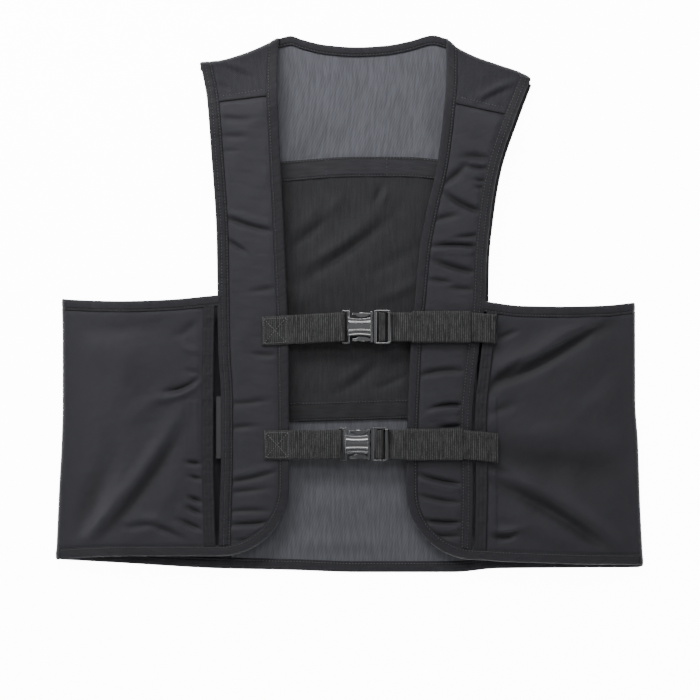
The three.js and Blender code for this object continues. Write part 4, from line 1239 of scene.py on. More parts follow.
@dataclass
class Side:
    """One side of the vest: its yoke, front panel, wing and all their bindings."""

    half: Half
    finishes: Finishes
    wing_folds: Sequence[Crease]
    panel_folds: Sequence[Crease]
    yoke_folds: Sequence[Crease]
    binding_thick: float = 2.4 * MM
    seed: int = 1
    fold_depth: float = 1.85
    wing_depth: float = 1.5

    def build(self) -> None:
        """Makes every piece of the side."""
        self.add_panel()
        self.add_yoke()
        self.add_wing()
        self.add_slit_band()
        self.add_front_binding()
        self.add_side_binding()
        self.add_back_arm_binding()
        self.add_wing_binding()

    def named(self, piece: str) -> str:
        """Gives a piece's name on this side."""
        return f"{self.half.name}_{piece}"

    def add_panel(self) -> None:
        """Makes the long front panel with its cross creases."""
        half, levels = self.half, LEVELS
        inner = levels.corner - levels.front_binding + levels.tuck
        arm_inset = half.side * (levels.arm_binding - levels.tuck)
        front_inset = half.side * (levels.front_binding - levels.tuck)

        def arm_side(y: Array) -> Array:
            """Gives the panel's outer edge."""
            return half.side_edge(y) - arm_inset

        tip = half.side * (half.corner[0] - float(arm_side(half.corner[1] - inner))) + 4 * MM
        bottom = half.corner[1] - math.sqrt(inner**2 - tip**2)

        def front_side(y: Array) -> Array:
            """Gives the panel's inner edge, with its rounded lower corner."""
            below = np.maximum(half.corner[1] - y, 0)
            arc = half.corner[0] - half.side * np.sqrt(np.maximum(inner**2 - below**2, 0))
            return np.where(below > 0, arc, half.front_edge(y) + front_inset)

        v = np.linspace(0, 1, 330)[:, None]
        u = np.linspace(0, 1, 44)[None, :]
        y = bottom + v * (half.yoke_seam(half.side_edge(0.0)) - bottom) + 0 * u
        x = mix(front_side(y), arm_side(y), u)
        for _ in range(3):
            y = bottom + v * (half.yoke_seam(x) + 0.8 * MM - bottom)
            x = mix(front_side(y), arm_side(y), u)
        width = np.abs(arm_side(y) - front_side(y))
        edge = smoothstep(width * np.minimum(u, 1 - u) / (7 * MM))
        ends = smoothstep((1 - v) / 0.012) * smoothstep(v / 0.02)
        crease = self.fold_depth * crease_height(self.panel_folds, x, y, 1.5)
        crease = crease * (0.35 + 0.65 * edge)
        lie = ripple(x * 0.6, y, 0.5 * MM, 20 * MM, self.seed) * edge
        lie = lie + ripple(x * 0.5, y, 0.14 * MM, 7 * MM, self.seed + 9) * edge
        plump = 0.7 * MM * np.sin(math.pi * u) ** 0.7
        points = half.on_front(x, y)
        points[..., 2] += np.minimum(crease + lie + plump, 1.5 * MM) * ends
        points[..., 2] -= 0.85 * MM - 0.6 * MM * edge * ends
        # Painted shade in the valleys of the panel's creases and in a line along its top, under
        # the yoke.
        shade = 0.85 * np.clip(-crease / (3 * MM), 0, 1) + 0.5 * np.exp(-(((1 - v) / 0.006) ** 2))
        cloth = Cloth(
            self.named("panel_cloth"), points, LEVELS.cloth, Slot.STRETCH,
            self.named("front_panel"), Held.LAID, ["back_panel"], shade,
        )
        self.outward(cloth).build(self.finishes.stretch)

    def outward(self, cloth: Cloth) -> Cloth:
        """Turns a sheet's grid so that its outer face looks outwards."""
        normal = cloth.normals()
        middle = normal[normal.shape[0] // 2, normal.shape[1] // 2]
        if cloth.node.endswith(("wing", "wing_binding")):
            middle = normal[normal.shape[0] // 2, 2] if self.grid_across(cloth) else normal[2, 2]
        if cloth.node.endswith(("yoke", "side_binding", "front_binding")):
            middle = normal[-3 if cloth.node.endswith("binding") else 2, normal.shape[1] // 2]
        if middle[2] < 0:
            cloth.middle = cloth.middle[:, ::-1]
            if np.ndim(cloth.thickness):
                cloth.thickness = cloth.thickness[:, ::-1]
            if np.ndim(cloth.shade):
                cloth.shade = cloth.shade[:, ::-1]
        return cloth

    def grid_across(self, cloth: Cloth) -> bool:
        """Tells whether a wing's grid runs across in its columns."""
        first, last = cloth.middle[0, 0], cloth.middle[-1, 0]
        return abs(last[1] - first[1]) > abs(last[0] - first[0])

    def add_yoke(self) -> None:
        """Makes the mesh yoke, from where it is sewn on at the front over the shoulder fold."""
        half, levels = self.half, LEVELS
        reach = levels.reach(levels.mesh, levels.back)
        u = np.linspace(0, 1, 48)[None, :]
        v = np.linspace(0, 1, 56)[:, None]

        def x_at(y: Array) -> Array:
            """Gives X from the neck edge to the armhole edge."""
            neck = half.front_edge(y) + half.side * (levels.front_binding - levels.tuck)
            arm = half.side_edge(y) - half.side * (levels.arm_binding - levels.tuck)
            return mix(neck, arm, u)

        y = mix(half.yoke_seam(x_at(half.shoulder_y + 0 * v)), half.shoulder_y, v)
        x = x_at(y)
        for _ in range(4):
            y = mix(half.yoke_seam(x), half.shoulder(x) - reach, v)
            x = x_at(y)
        front = half.on_front(x, y)
        edge = smoothstep(np.minimum(u, 1 - u) / 0.1) * smoothstep((1 - v) / 0.12)
        hem = np.exp(-((v / 0.12) ** 4)) * 0.5 * MM
        front[..., 2] += crease_height(self.yoke_folds, x, y) * edge + hem
        front[..., 2] += ripple(x, y, 0.3 * MM, 18 * MM, self.seed + 4) * edge
        front[..., 2] -= 0.7 * MM * (1 - smoothstep(np.minimum(u, 1 - u) / 0.08)) * (1 - v)
        over = half.over_shoulder(front[-1, :, 0], levels.mesh, levels.back, 14)
        # The yoke's shade is a painted shade in a line along its lower edge on the front.
        cloth = Cloth(
            self.named("yoke_cloth"), np.concatenate([front, over]), levels.mesh,
            Slot.BACK_MESH, self.named("yoke"), Held.FOLDED, ["back_panel"],
            np.concatenate([0.8 * np.exp(-((v / 0.03) ** 2)) + 0 * u, np.zeros(over.shape[:2])]),
        )
        self.outward(cloth).build(self.finishes.yoke_mesh)
        threads = Threads(self.named("yoke_stitches"), Slot.BINDING, self.finishes.thread)
        line = front[8, 5:-5] + np.array([0, 0, levels.mesh / 2 + 0.1 * MM])
        threads.follow(line, upward(len(line)))
        threads.build()

    def wing_point(
        self, part: Array, share: Array, y: Array, start: Callable[[Array], Array],
        thickness: float, back: float,
    ) -> Array:
        """Gives points on the middle of a wall that goes round the side fold.

        Args:
            part: 0 on the front, 1 in the fold and 2 on the back.
            share: How far along that part the points are.
            y: Their places along the vest.
            start: Where the wall starts on the front.
            thickness: The wall's thickness.
            back: The height of its middle on the back.

        Returns:
            The points.
        """
        half = self.half
        reach = LEVELS.reach(thickness, back)
        radius = reach - thickness / 2
        fold_x = half.fold_edge(y) - half.side * reach
        front_x = mix(start(y), fold_x, share)
        angle = math.pi * share
        round_x = fold_x + half.side * radius * np.sin(angle)
        seam_x = half.back_arm(y) - half.side * (LEVELS.arm_binding - 0.4 * MM)
        x = np.select([part == 0, part == 1], [front_x, round_x], mix(fold_x, seam_x, share))
        z = np.select(
            [part == 0, part == 1],
            [half.height(x, y), back + radius * (1 + np.cos(angle))],
            back + 0 * x,
        )
        return np.stack([x, y + 0 * x, z], axis=-1)

    def stations(self, front: int, fold: int, back: int) -> tuple[Array, Array]:
        """Gives the part and the share of each station round the side fold."""
        part = np.concatenate([np.zeros(front + 1), np.ones(fold), np.full(back, 2)])
        share = np.concatenate([
            np.linspace(0, 1, front + 1), np.linspace(0, 1, fold + 1)[1:],
            np.linspace(0, 1, back + 1)[1:],
        ])
        return part, share

    def add_wing(self) -> None:
        """Makes the stretch wing, folded round the side, with its soft folds."""
        half, levels = self.half, LEVELS
        part, share = (a[None, :] for a in self.stations(150, 14, 30))
        v = np.linspace(0, 1, 150)[:, None]

        def start(y: Array) -> Array:
            """Gives where the wall starts on the front."""
            return half.slit_edge(y) + half.side * (levels.slit_band - levels.tuck)

        y = 0 * v + 0 * share
        points = self.wing_point(part, share, y, start, levels.cloth, levels.back)
        for _ in range(4):
            x = points[..., 0]
            front = half.front_hem(x) + levels.front_binding - levels.tuck
            back = BACK_HEM(x) + levels.hem_binding - 0.5 * MM
            low = np.select([part == 0, part == 1], [front, mix(front, back, share)], back)
            y = mix(low, half.wing_top(x) - levels.wing_binding + levels.tuck, v)
            points = self.wing_point(part, share, y, start, levels.cloth, levels.back)
        x = points[..., 0]
        reach = levels.reach(levels.cloth, levels.back)
        inner = smoothstep(half.side * (x - start(y)) / (9 * MM))
        outer = smoothstep((half.side * (half.fold_edge(y) - x) - reach) / (34 * MM))
        ends = smoothstep(np.minimum(v, 1 - v) / 0.07)
        fade = (part == 0) * (0.2 + 0.8 * inner) * outer * (0.12 + 0.88 * ends)
        crease = self.wing_depth * crease_height(self.wing_folds, x, y, 1.15)
        folds = crease + ripple(x, y, 0.9 * MM, 48 * MM, self.seed + 1)
        folds = folds + ripple(x, y, 0.16 * MM, 14 * MM, self.seed + 2)
        folds = folds + self.tab_relief(x, y)
        sunk = 1 - inner * smoothstep(np.minimum(v, 1 - v) / 0.02)
        points[..., 2] += folds * fade - 0.85 * MM * (part == 0) * sunk
        # The wing's shade is painted shade in the valleys of its folds.
        cloth = Cloth(
            self.named("wing_cloth"), points, levels.cloth, Slot.STRETCH, self.named("wing"),
            Held.FOLDED, ["back_panel"], 0.8 * np.clip(-crease * fade / (4 * MM), 0, 1),
        )
        self.outward(cloth).build(self.finishes.stretch)

    def tab_relief(self, x: Array, y: Array) -> Array:
        """Gives the faint rise of the pieces sewn behind the wing near its slit."""
        if self.half.side < 0:
            low, high = spot(187, 462), spot(204, 400)
        else:
            low, high = spot(477, 560), spot(497, 398)
        inside = smoothstep((x - low[0]) / MM) * smoothstep((high[0] - x) / MM)
        inside = inside * smoothstep((y - low[1]) / MM) * smoothstep((high[1] - y) / MM)
        return 0.55 * MM * inside

    def add_slit_band(self) -> None:
        """Makes the stitched band along the slit, drawn in by its elastic."""
        half, levels = self.half, LEVELS
        x = float(half.slit_edge(0.0))
        top = float(half.wing_top(x)) - levels.wing_binding + 0.8 * MM
        low = half.above_hem(float(half.slit_edge(-LENGTH / 2)), levels.front_binding - 0.8 * MM)
        y = np.linspace(low, top, 300)
        edge = half.slit_edge(y)
        outer = half.on_front(edge, y)
        inner = half.on_front(edge + half.side * levels.slit_band, y)
        grid = strip(outer, inner, 13)
        u = np.linspace(0, 1, 13)[None, :]
        ribs = 0.05 * MM * np.sin(y / (2.1 * MM) * TAU / 2)[:, None] * np.sin(math.pi * u)
        grid[..., 2] += 0.5 * MM + ribs + ripple(grid[..., 0], grid[..., 1], 0.25 * MM, 12 * MM, 9)
        thick = 1.7 * MM * (0.7 + 0.3 * np.abs(np.sin(3 * math.pi * (u * 0.94 + 0.03))))
        # The band's shade is painted shade along its edges and its stitch lines.
        cloth = Cloth(
            self.named("slit_band_cloth"), grid, np.broadcast_to(thick, grid.shape[:2]),
            Slot.STRETCH, self.named("slit_band"), Held.LAID, ["back_panel"],
            np.broadcast_to(
                0.65 * seam_shade(13, (0.0, 0.3, 0.62, 1.0), 0.06), grid.shape[:2]
            ),
        )
        self.outward(cloth).build(self.finishes.binding)

    def dress(
        self, outer: Array, inner: Array, node: str, groove: float, held: Held, seed: int,
        extra: Sequence[float] = (), also: Sequence[str] = (),
    ) -> None:
        """Makes a binding between two lines, and the stitches along it.

        Args:
            outer: Points along its outer edge.
            inner: Points along its inner edge.
            node: The solid that it stands for.
            groove: Where across it its stitches run, as a share.
            held: How it lies.
            seed: Its uneven lie.
            extra: Where further stitch lines run.
            also: Further solids that it stands for.
        """
        across = 21
        grid = strip(outer, inner, across)
        # Painted shade along the binding's inner edge, where the cloth beside it shades it, and
        # along its stitch grooves.
        shade = seam_shade(across, (1.0, groove - 0.07, *(e - 0.06 for e in extra)))
        cloth = Cloth(
            f"{node}_tape", grid, crowned(len(grid), across, self.binding_thick, groove),
            Slot.BINDING, node, held, ["back_panel"],
            np.broadcast_to(0.85 * shade, grid.shape[:2]), also,
        )
        pucker(cloth, 0.22 * MM, 11 * MM, seed)
        self.outward(cloth).build(self.finishes.binding)
        threads = Threads(f"{node}_stitches", Slot.BINDING, self.finishes.thread)
        normal = cloth.normals()
        flipped = np.linalg.norm(cloth.middle[0, 0] - outer[0]) > 3 * MM
        thickness = np.asarray(cloth.thickness)
        for share in (groove, *extra):
            place = (1 - share if flipped else share) * (across - 1)
            column = int(round(place))
            line = cloth.middle[:, column] + normal[:, column] * (
                thickness[:, column : column + 1] / 2 + 0.05 * MM
            )
            threads.follow(line, normal[:, column])
        threads.build()

    def add_front_binding(self) -> None:
        """Makes the binding from the shoulder down the front edge and along the hem."""
        half, levels = self.half, LEVELS
        thick = self.binding_thick
        reach = levels.reach(thick, levels.back_binding)
        width = levels.front_binding
        lines = []
        for inset in (0.0, width):
            x0 = np.array([half.neck_x + half.side * inset])
            over = half.over_shoulder(x0, thick, levels.back_binding, 14)[::-1, 0]
            start = float(half.shoulder(x0[0])) - reach
            y = np.linspace(start, half.corner[1], 260)
            edge = half.on_front(half.front_edge(y) + half.side * inset, y)
            angle = np.linspace(0, math.pi / 2, 61)[1:]
            radius = levels.corner - inset
            x = half.corner[0] - half.side * radius * np.cos(angle)
            arc = half.on_front(x, half.corner[1] - radius * np.sin(angle))
            end = float(half.fold_edge(-LENGTH / 2)) - half.side * reach
            x = np.linspace(half.corner[0], end, 110)[1:]
            hem = half.on_front(x, half.front_hem(x) + inset)
            lines.append(np.concatenate([over, edge, arc, hem]))
        self.dress(
            lines[0], lines[1], self.named("front_binding"), 0.8, Held.FOLDED, self.seed + 20
        )

    def add_side_binding(self) -> None:
        """Makes the binding of the armhole and of the panel's side, down to the hem."""
        half, levels = self.half, LEVELS
        thick = self.binding_thick
        reach = levels.reach(thick, levels.back_binding)
        lines = []
        for offset in (0.0, -half.side * levels.arm_binding):
            x0 = np.array([float(half.side_edge(half.shoulder_y)) + offset])
            over = half.over_shoulder(x0, thick, levels.back_binding, 14)[::-1, 0]
            start = float(half.shoulder(x0[0])) - reach
            end = half.above_hem(
                float(half.side_edge(-LENGTH / 2)) + offset, levels.front_binding - 1 * MM
            )
            y = np.linspace(start, end, 330)
            edge = half.on_front(half.side_edge(y) + offset, y)
            lines.append(np.concatenate([over, edge]))
        self.dress(
            lines[0], lines[1], self.named("side_binding"), 0.84, Held.FOLDED, self.seed + 30,
            extra=(0.42,),
        )

    def add_back_arm_binding(self) -> None:
        """Makes the binding of the armhole on the back."""
        half, levels = self.half, LEVELS
        reach = levels.reach(self.binding_thick, levels.back_binding)
        lines = []
        for offset in (0.0, -half.side * levels.arm_binding):
            x0 = float(half.side_edge(half.shoulder_y)) + offset
            top = float(half.shoulder(x0)) - reach - levels.lap + 1 * MM
            low = float(half.wing_top(float(half.back_arm(0.0)))) + 0.5 * MM
            y = np.linspace(low, top, 150)
            x = half.back_arm(y) + offset
            lines.append(np.stack([x, y, np.full_like(x, levels.back_binding)], axis=-1))
        self.dress(
            lines[0], lines[1], self.named("back_arm_binding"), 0.8, Held.LAID, self.seed + 40
        )

    def add_wing_binding(self) -> None:
        """Makes the binding along the wing's top edge, round the fold to the back seam."""
        half, levels = self.half, LEVELS
        part, share = self.stations(130, 16, 60)

        def start(y: Array) -> Array:
            """Gives where the wall starts on the front."""
            return half.side_edge(y) - half.side * 3 * MM

        lines = []
        for drop in (0.0, levels.wing_binding):
            y = 0 * share
            for _ in range(4):
                points = self.wing_point(
                    part, share, y, start, self.binding_thick, levels.back_binding
                )
                y = half.wing_top(points[..., 0]) - drop
            lines.append(points)
        self.dress(
            lines[0], lines[1], self.named("wing_binding"), 0.8, Held.FOLDED, self.seed + 50
        )


@dataclass
class Back:
    """The mesh back, its pocket, the neckline binding and the hem."""

    left: Half
    right: Half
    finishes: Finishes
    band: float = 20.5 * MM
    lower_band: float = 19.5 * MM
    binding_thick: float = 2.4 * MM
    pocket_height: float = 2.1 * MM

    def build(self) -> None:
        """Makes every piece of the back."""
        self.add_panel()
        self.add_pocket()
        self.add_bands()
        self.add_neck_binding()
        self.add_hem_binding()

    def add_panel(self) -> None:
        """Makes the mesh back between the armhole bindings and wings."""
        left, right, levels = self.left, self.right, LEVELS

        def arm(half: Half, y: Array) -> Array:
            """Gives one side's edge of the back."""
            return half.back_arm(y) - half.side * (levels.arm_binding - 2 * MM)

        def top(x: Array) -> Array:
            """Gives the upper edge, along the shoulders and the neckline."""
            reach = levels.reach(levels.mesh, levels.back) + levels.lap - 2 * MM
            shoulder = np.where(x < 0, left.shoulder(x), right.shoulder(x)) - reach
            neck = NECK_TOP(x) - levels.neck_binding + 2 * MM
            inside = (x > left.neck_x) & (x < right.neck_x)
            return np.where(inside, np.minimum(neck, shoulder + 4 * MM), shoulder)

        v = np.linspace(0, 1, 230)[:, None]
        u = np.linspace(0, 1, 170)[None, :]
        y = 0 * v + 0 * u
        for _ in range(5):
            x = mix(arm(left, y), arm(right, y), u)
            y = mix(BACK_HEM(x) + levels.hem_binding - 2 * MM, top(x), v)
        x = mix(arm(left, y), arm(right, y), u)
        lift = crease_height(BACK_FOLDS, x, y) + ripple(x, y, 0.5 * MM, 30 * MM, 61)
        pocket = (y > POCKET_BOTTOM(x) - 4 * MM) & (y < POCKET_TOP(x) + 4 * MM)
        edge = smoothstep(np.minimum(u, 1 - u) / 0.06) * smoothstep(np.minimum(v, 1 - v) / 0.03)
        lift = np.where(pocket, np.minimum(lift, 0.2 * MM), lift)
        z = levels.back + np.maximum(lift, -0.2 * MM) * edge
        # Painted shade in the mesh's hollows, which have no height.
        hollow_shade = crease_height(BACK_SHADE_HOLLOWS, x, y)
        cloth = Cloth(
            "back_mesh_cloth", np.stack([x, y, z], axis=-1), levels.mesh, Slot.BACK_MESH,
            "back_panel", Held.LAID, (), 0.5 * np.clip(-hollow_shade / MM, 0, 1),
        )
        cloth.build(self.finishes.back_mesh)

    def pocket_ends(self) -> tuple[float, float]:
        """Gives the pocket's left and right ends."""
        return -0.384 * HALF_WIDTH, 0.387 * HALF_WIDTH

    def add_pocket(self) -> None:
        """Makes the pocket's cloth with its slanting folds."""
        ends = self.pocket_ends()
        u = np.linspace(0, 1, 190)[None, :]
        v = np.linspace(0, 1, 190)[:, None]
        x = mix(ends[0], ends[1], u) + 0 * v
        low = POCKET_BOTTOM(x) + self.lower_band - 1.5 * MM
        y = mix(low, POCKET_TOP(x) - self.band + 1.5 * MM, v)
        fade = smoothstep(np.minimum(v, 1 - v) / 0.05)
        creases = np.maximum(1.25 * crease_height(POCKET_FOLDS, x, y), -1.7 * MM)
        lift = creases + ripple(x, y, 0.35 * MM, 26 * MM, 71)
        base = self.pocket_height + 1.5 * MM * smoothstep(np.minimum(v, 1 - v) / 0.2)
        z = base + np.maximum(lift, -1.6 * MM) * fade
        cloth = Cloth(
            "back_pocket_cloth", np.stack([x, y, z], axis=-1), LEVELS.cloth, Slot.POCKET,
            "back_pocket", Held.LAID, ["back_panel"],
        )
        cloth.build(self.finishes.pocket)

    def add_bands(self) -> None:
        """Makes the pocket's two stitched bands and the stitched patch on the upper one."""
        ends = self.pocket_ends()
        across = 25
        x = np.linspace(ends[0], ends[1], 150)
        threads = Threads("pocket_stitches", Slot.POCKET, self.finishes.thread)
        up = upward(len(x))
        for name, low, high in (
            ("pocket_top_band", POCKET_TOP(x) - self.band, POCKET_TOP(x)),
            ("pocket_lower_band", POCKET_BOTTOM(x), POCKET_BOTTOM(x) + self.lower_band),
        ):
            lower = np.stack([x, low, np.full_like(x, self.pocket_height + 0.5 * MM)], axis=-1)
            upper = np.stack([x, high, np.full_like(x, self.pocket_height + 0.5 * MM)], axis=-1)
            grid = strip(upper, lower, across)
            patch = (np.abs(grid[..., 0] - 7.2 * MM) < 31.5 * MM) & (name == "pocket_top_band")
            inside = (np.arange(across) > 3) & (np.arange(across) < 22)
            grid[..., 2] += ripple(grid[..., 0], grid[..., 1], 0.3 * MM, 16 * MM, 81)
            grid[..., 2] += 0.3 * MM * (patch & inside[None, :])
            u = np.linspace(0, 1, across)
            drawn = 1.6 * MM * (1 - 0.35 * np.exp(-(((u - 0.9) / 0.04) ** 2)))
            # The bands' shade is painted shade along their two stitch grooves.
            cloth = Cloth(
                f"{name}_cloth", grid[::-1], np.broadcast_to(drawn, grid.shape[:2]),
                Slot.POCKET, name, Held.LAID, ["back_pocket_cloth"],
                np.broadcast_to(0.7 * seam_shade(across, (0.1, 0.9), 0.03), grid.shape[:2]),
            )
            top = name == "pocket_top_band"
            cloth.build(self.finishes.pocket_band if top else self.finishes.pocket)
            for share in (0.06, 0.93):
                line = mix(upper, lower, share) + np.array([0, 0, 0.85 * MM])
                threads.follow(line, up)
        patch_x = (spot(326, 0)[0], spot(387, 0)[0])
        for edge in patch_x:
            top = float(POCKET_TOP(edge))
            line = np.linspace(
                (edge, top - 1 * MM, self.pocket_height + 1.4 * MM),
                (edge, top - self.band + 1 * MM, self.pocket_height + 1.4 * MM), 12,
            )
            threads.follow(line, upward(len(line)))
        threads.build()

    def add_neck_binding(self) -> None:
        """Makes the binding of the back's neckline."""
        x = np.linspace(self.left.neck_x - 2 * MM, self.right.neck_x + 2 * MM, 160)
        height = np.full_like(x, LEVELS.back_binding + 0.4 * MM)
        outer = np.stack([x, NECK_TOP(x), height], axis=-1)
        inner = np.stack([x, NECK_TOP(x) - LEVELS.neck_binding, height], axis=-1)
        self.dresser().dress(outer, inner, "neck_binding", 0.78, Held.LAID, 91)

    def dresser(self) -> Side:
        """Gives a side without folds, to dress the back's edges with."""
        return Side(self.left, self.finishes, (), (), ())

    def add_hem_binding(self) -> None:
        """Makes the back's hem binding, which turns up round both side folds."""
        levels = LEVELS
        reach = levels.reach(self.binding_thick, levels.back_binding)
        radius = reach - self.binding_thick / 2
        lines = []
        for lift in (0.0, levels.hem_binding):
            ends = []
            for half in (self.left, self.right):
                angle = np.linspace(0, math.pi, 21)
                share = angle / math.pi
                edge_x = float(half.fold_edge(-LENGTH / 2))
                y = mix(float(half.front_hem(edge_x)), float(BACK_HEM(edge_x)), share) + lift
                x = edge_x - half.side * (reach - radius * np.sin(angle))
                z = levels.back_binding + radius * (1 + np.cos(angle))
                ends.append(np.stack([x, y, z], axis=-1))
            x = np.linspace(ends[0][-1, 0], ends[1][-1, 0], 420)[1:-1]
            y = BACK_HEM(x) + lift
            flat = np.stack([x, y, np.full_like(x, levels.back_binding)], axis=-1)
            lines.append(np.concatenate([ends[0], flat, ends[1][::-1]]))
        self.dresser().dress(
            lines[0], lines[1], "back_hem_binding", 0.8, Held.FOLDED, 95,
            also=("left_hem_turn", "right_hem_turn"),
        )


@dataclass
class BucklePad:
    """The crowned middle of a buckle's housing, with its two curved ridges.

    The profile's rows hold how far along Y a point is and how far above the base, in millimetres.
    """

    name: str
    joint: float
    middle_y: float
    material: bpy.types.Material
    left: float = -25.4 * MM
    right: float = -1.8 * MM
    base: float = 24.05 * MM
    waist: float = 0.86
    wall: float = 0.5 * MM
    columns: int = 12
    profile: Rows = (
        (-10.0, 0.0), (-9.3, 0.1), (-8.7, 0.3), (-8.0, 0.08), (-7.2, 0.03), (-4.9, 0.03),
        (-4.5, 0.52), (-4.0, 0.62), (-3.4, 0.46), (-2.6, 0.14), (0.3, 0.22), (3.3, 0.1),
        (3.9, 0.02), (4.3, 0.5), (4.8, 0.62), (5.5, 0.44), (6.6, 0.12), (8.0, 0.06), (10.0, 0.0),
    )

    def build(self) -> bpy.types.Object:
        """Models the pad from a grid and returns its object."""
        rows = len(self.profile)
        bpy.ops.object.select_all(action="DESELECT")
        bpy.ops.mesh.primitive_grid_add(
            x_subdivisions=self.columns, y_subdivisions=rows - 1, size=self.right - self.left
        )
        pad = bpy.context.object
        pad.name = f"{self.name}_buckle_pad"
        bpy.ops.object.mode_set(mode="EDIT")
        middle_x = self.joint + (self.left + self.right) / 2
        bpy.ops.transform.translate(value=(middle_x, self.middle_y, self.base))
        size = self.right - self.left
        levels = [self.middle_y - size / 2 + size * k / (rows - 1) for k in range(rows)]
        kept = self.vertex_rows(pad, levels)
        for level, indices, (y, z) in zip(levels, kept, self.profile):
            self.pick(pad, indices)
            shift = self.middle_y + y * MM - level
            bpy.ops.transform.translate(value=(0, shift, z * MM))
        for column in range(self.columns + 1):
            share = column / self.columns
            x = self.joint + self.left + size * share
            wide = mix(self.waist, 1.0, (2 * share - 1) ** 2)
            self.pick(pad, self.vertex_column(pad, x))
            bpy.ops.transform.resize(
                value=(1, float(wide), 1), center_override=(x, self.middle_y, self.base)
            )
        bpy.ops.mesh.select_all(action="SELECT")
        bpy.ops.mesh.normals_make_consistent(inside=False)
        bpy.ops.object.mode_set(mode="OBJECT")
        wall = pad.modifiers.new("wall", "SOLIDIFY")
        wall.thickness = self.wall
        wall.offset = -1
        smooth = pad.modifiers.new("smooth", "SUBSURF")
        smooth.levels = smooth.render_levels = 2
        for modifier in ("wall", "smooth"):
            bpy.ops.object.modifier_apply(modifier=modifier)
        bpy.ops.object.shade_smooth()
        pad.data.materials.append(self.material)
        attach(pad, "root")
        LOG.info("%s: %d faces", pad.name, len(pad.data.polygons))
        return pad

    @staticmethod
    def vertex_rows(pad: bpy.types.Object, levels: Sequence[float]) -> list[list[int]]:
        """Gives the vertices that lie at each place along Y."""
        shape = bmesh.from_edit_mesh(pad.data)
        return [
            [v.index for v in shape.verts if abs(v.co.y - level) < 0.1 * MM] for level in levels
        ]

    @staticmethod
    def vertex_column(pad: bpy.types.Object, x: float) -> list[int]:
        """Gives the vertices that lie at a place along X."""
        shape = bmesh.from_edit_mesh(pad.data)
        return [v.index for v in shape.verts if abs(v.co.x - x) < 0.1 * MM]

    @staticmethod
    def pick(pad: bpy.types.Object, indices: Sequence[int]) -> None:
        """Selects vertices and nothing else."""
        shape = bmesh.from_edit_mesh(pad.data)
        shape.verts.ensure_lookup_table()
        bpy.ops.mesh.select_all(action="DESELECT")
        for index in indices:
            shape.verts[index].select_set(True)
        shape.select_flush(True)
        bmesh.update_edit_mesh(pad.data)


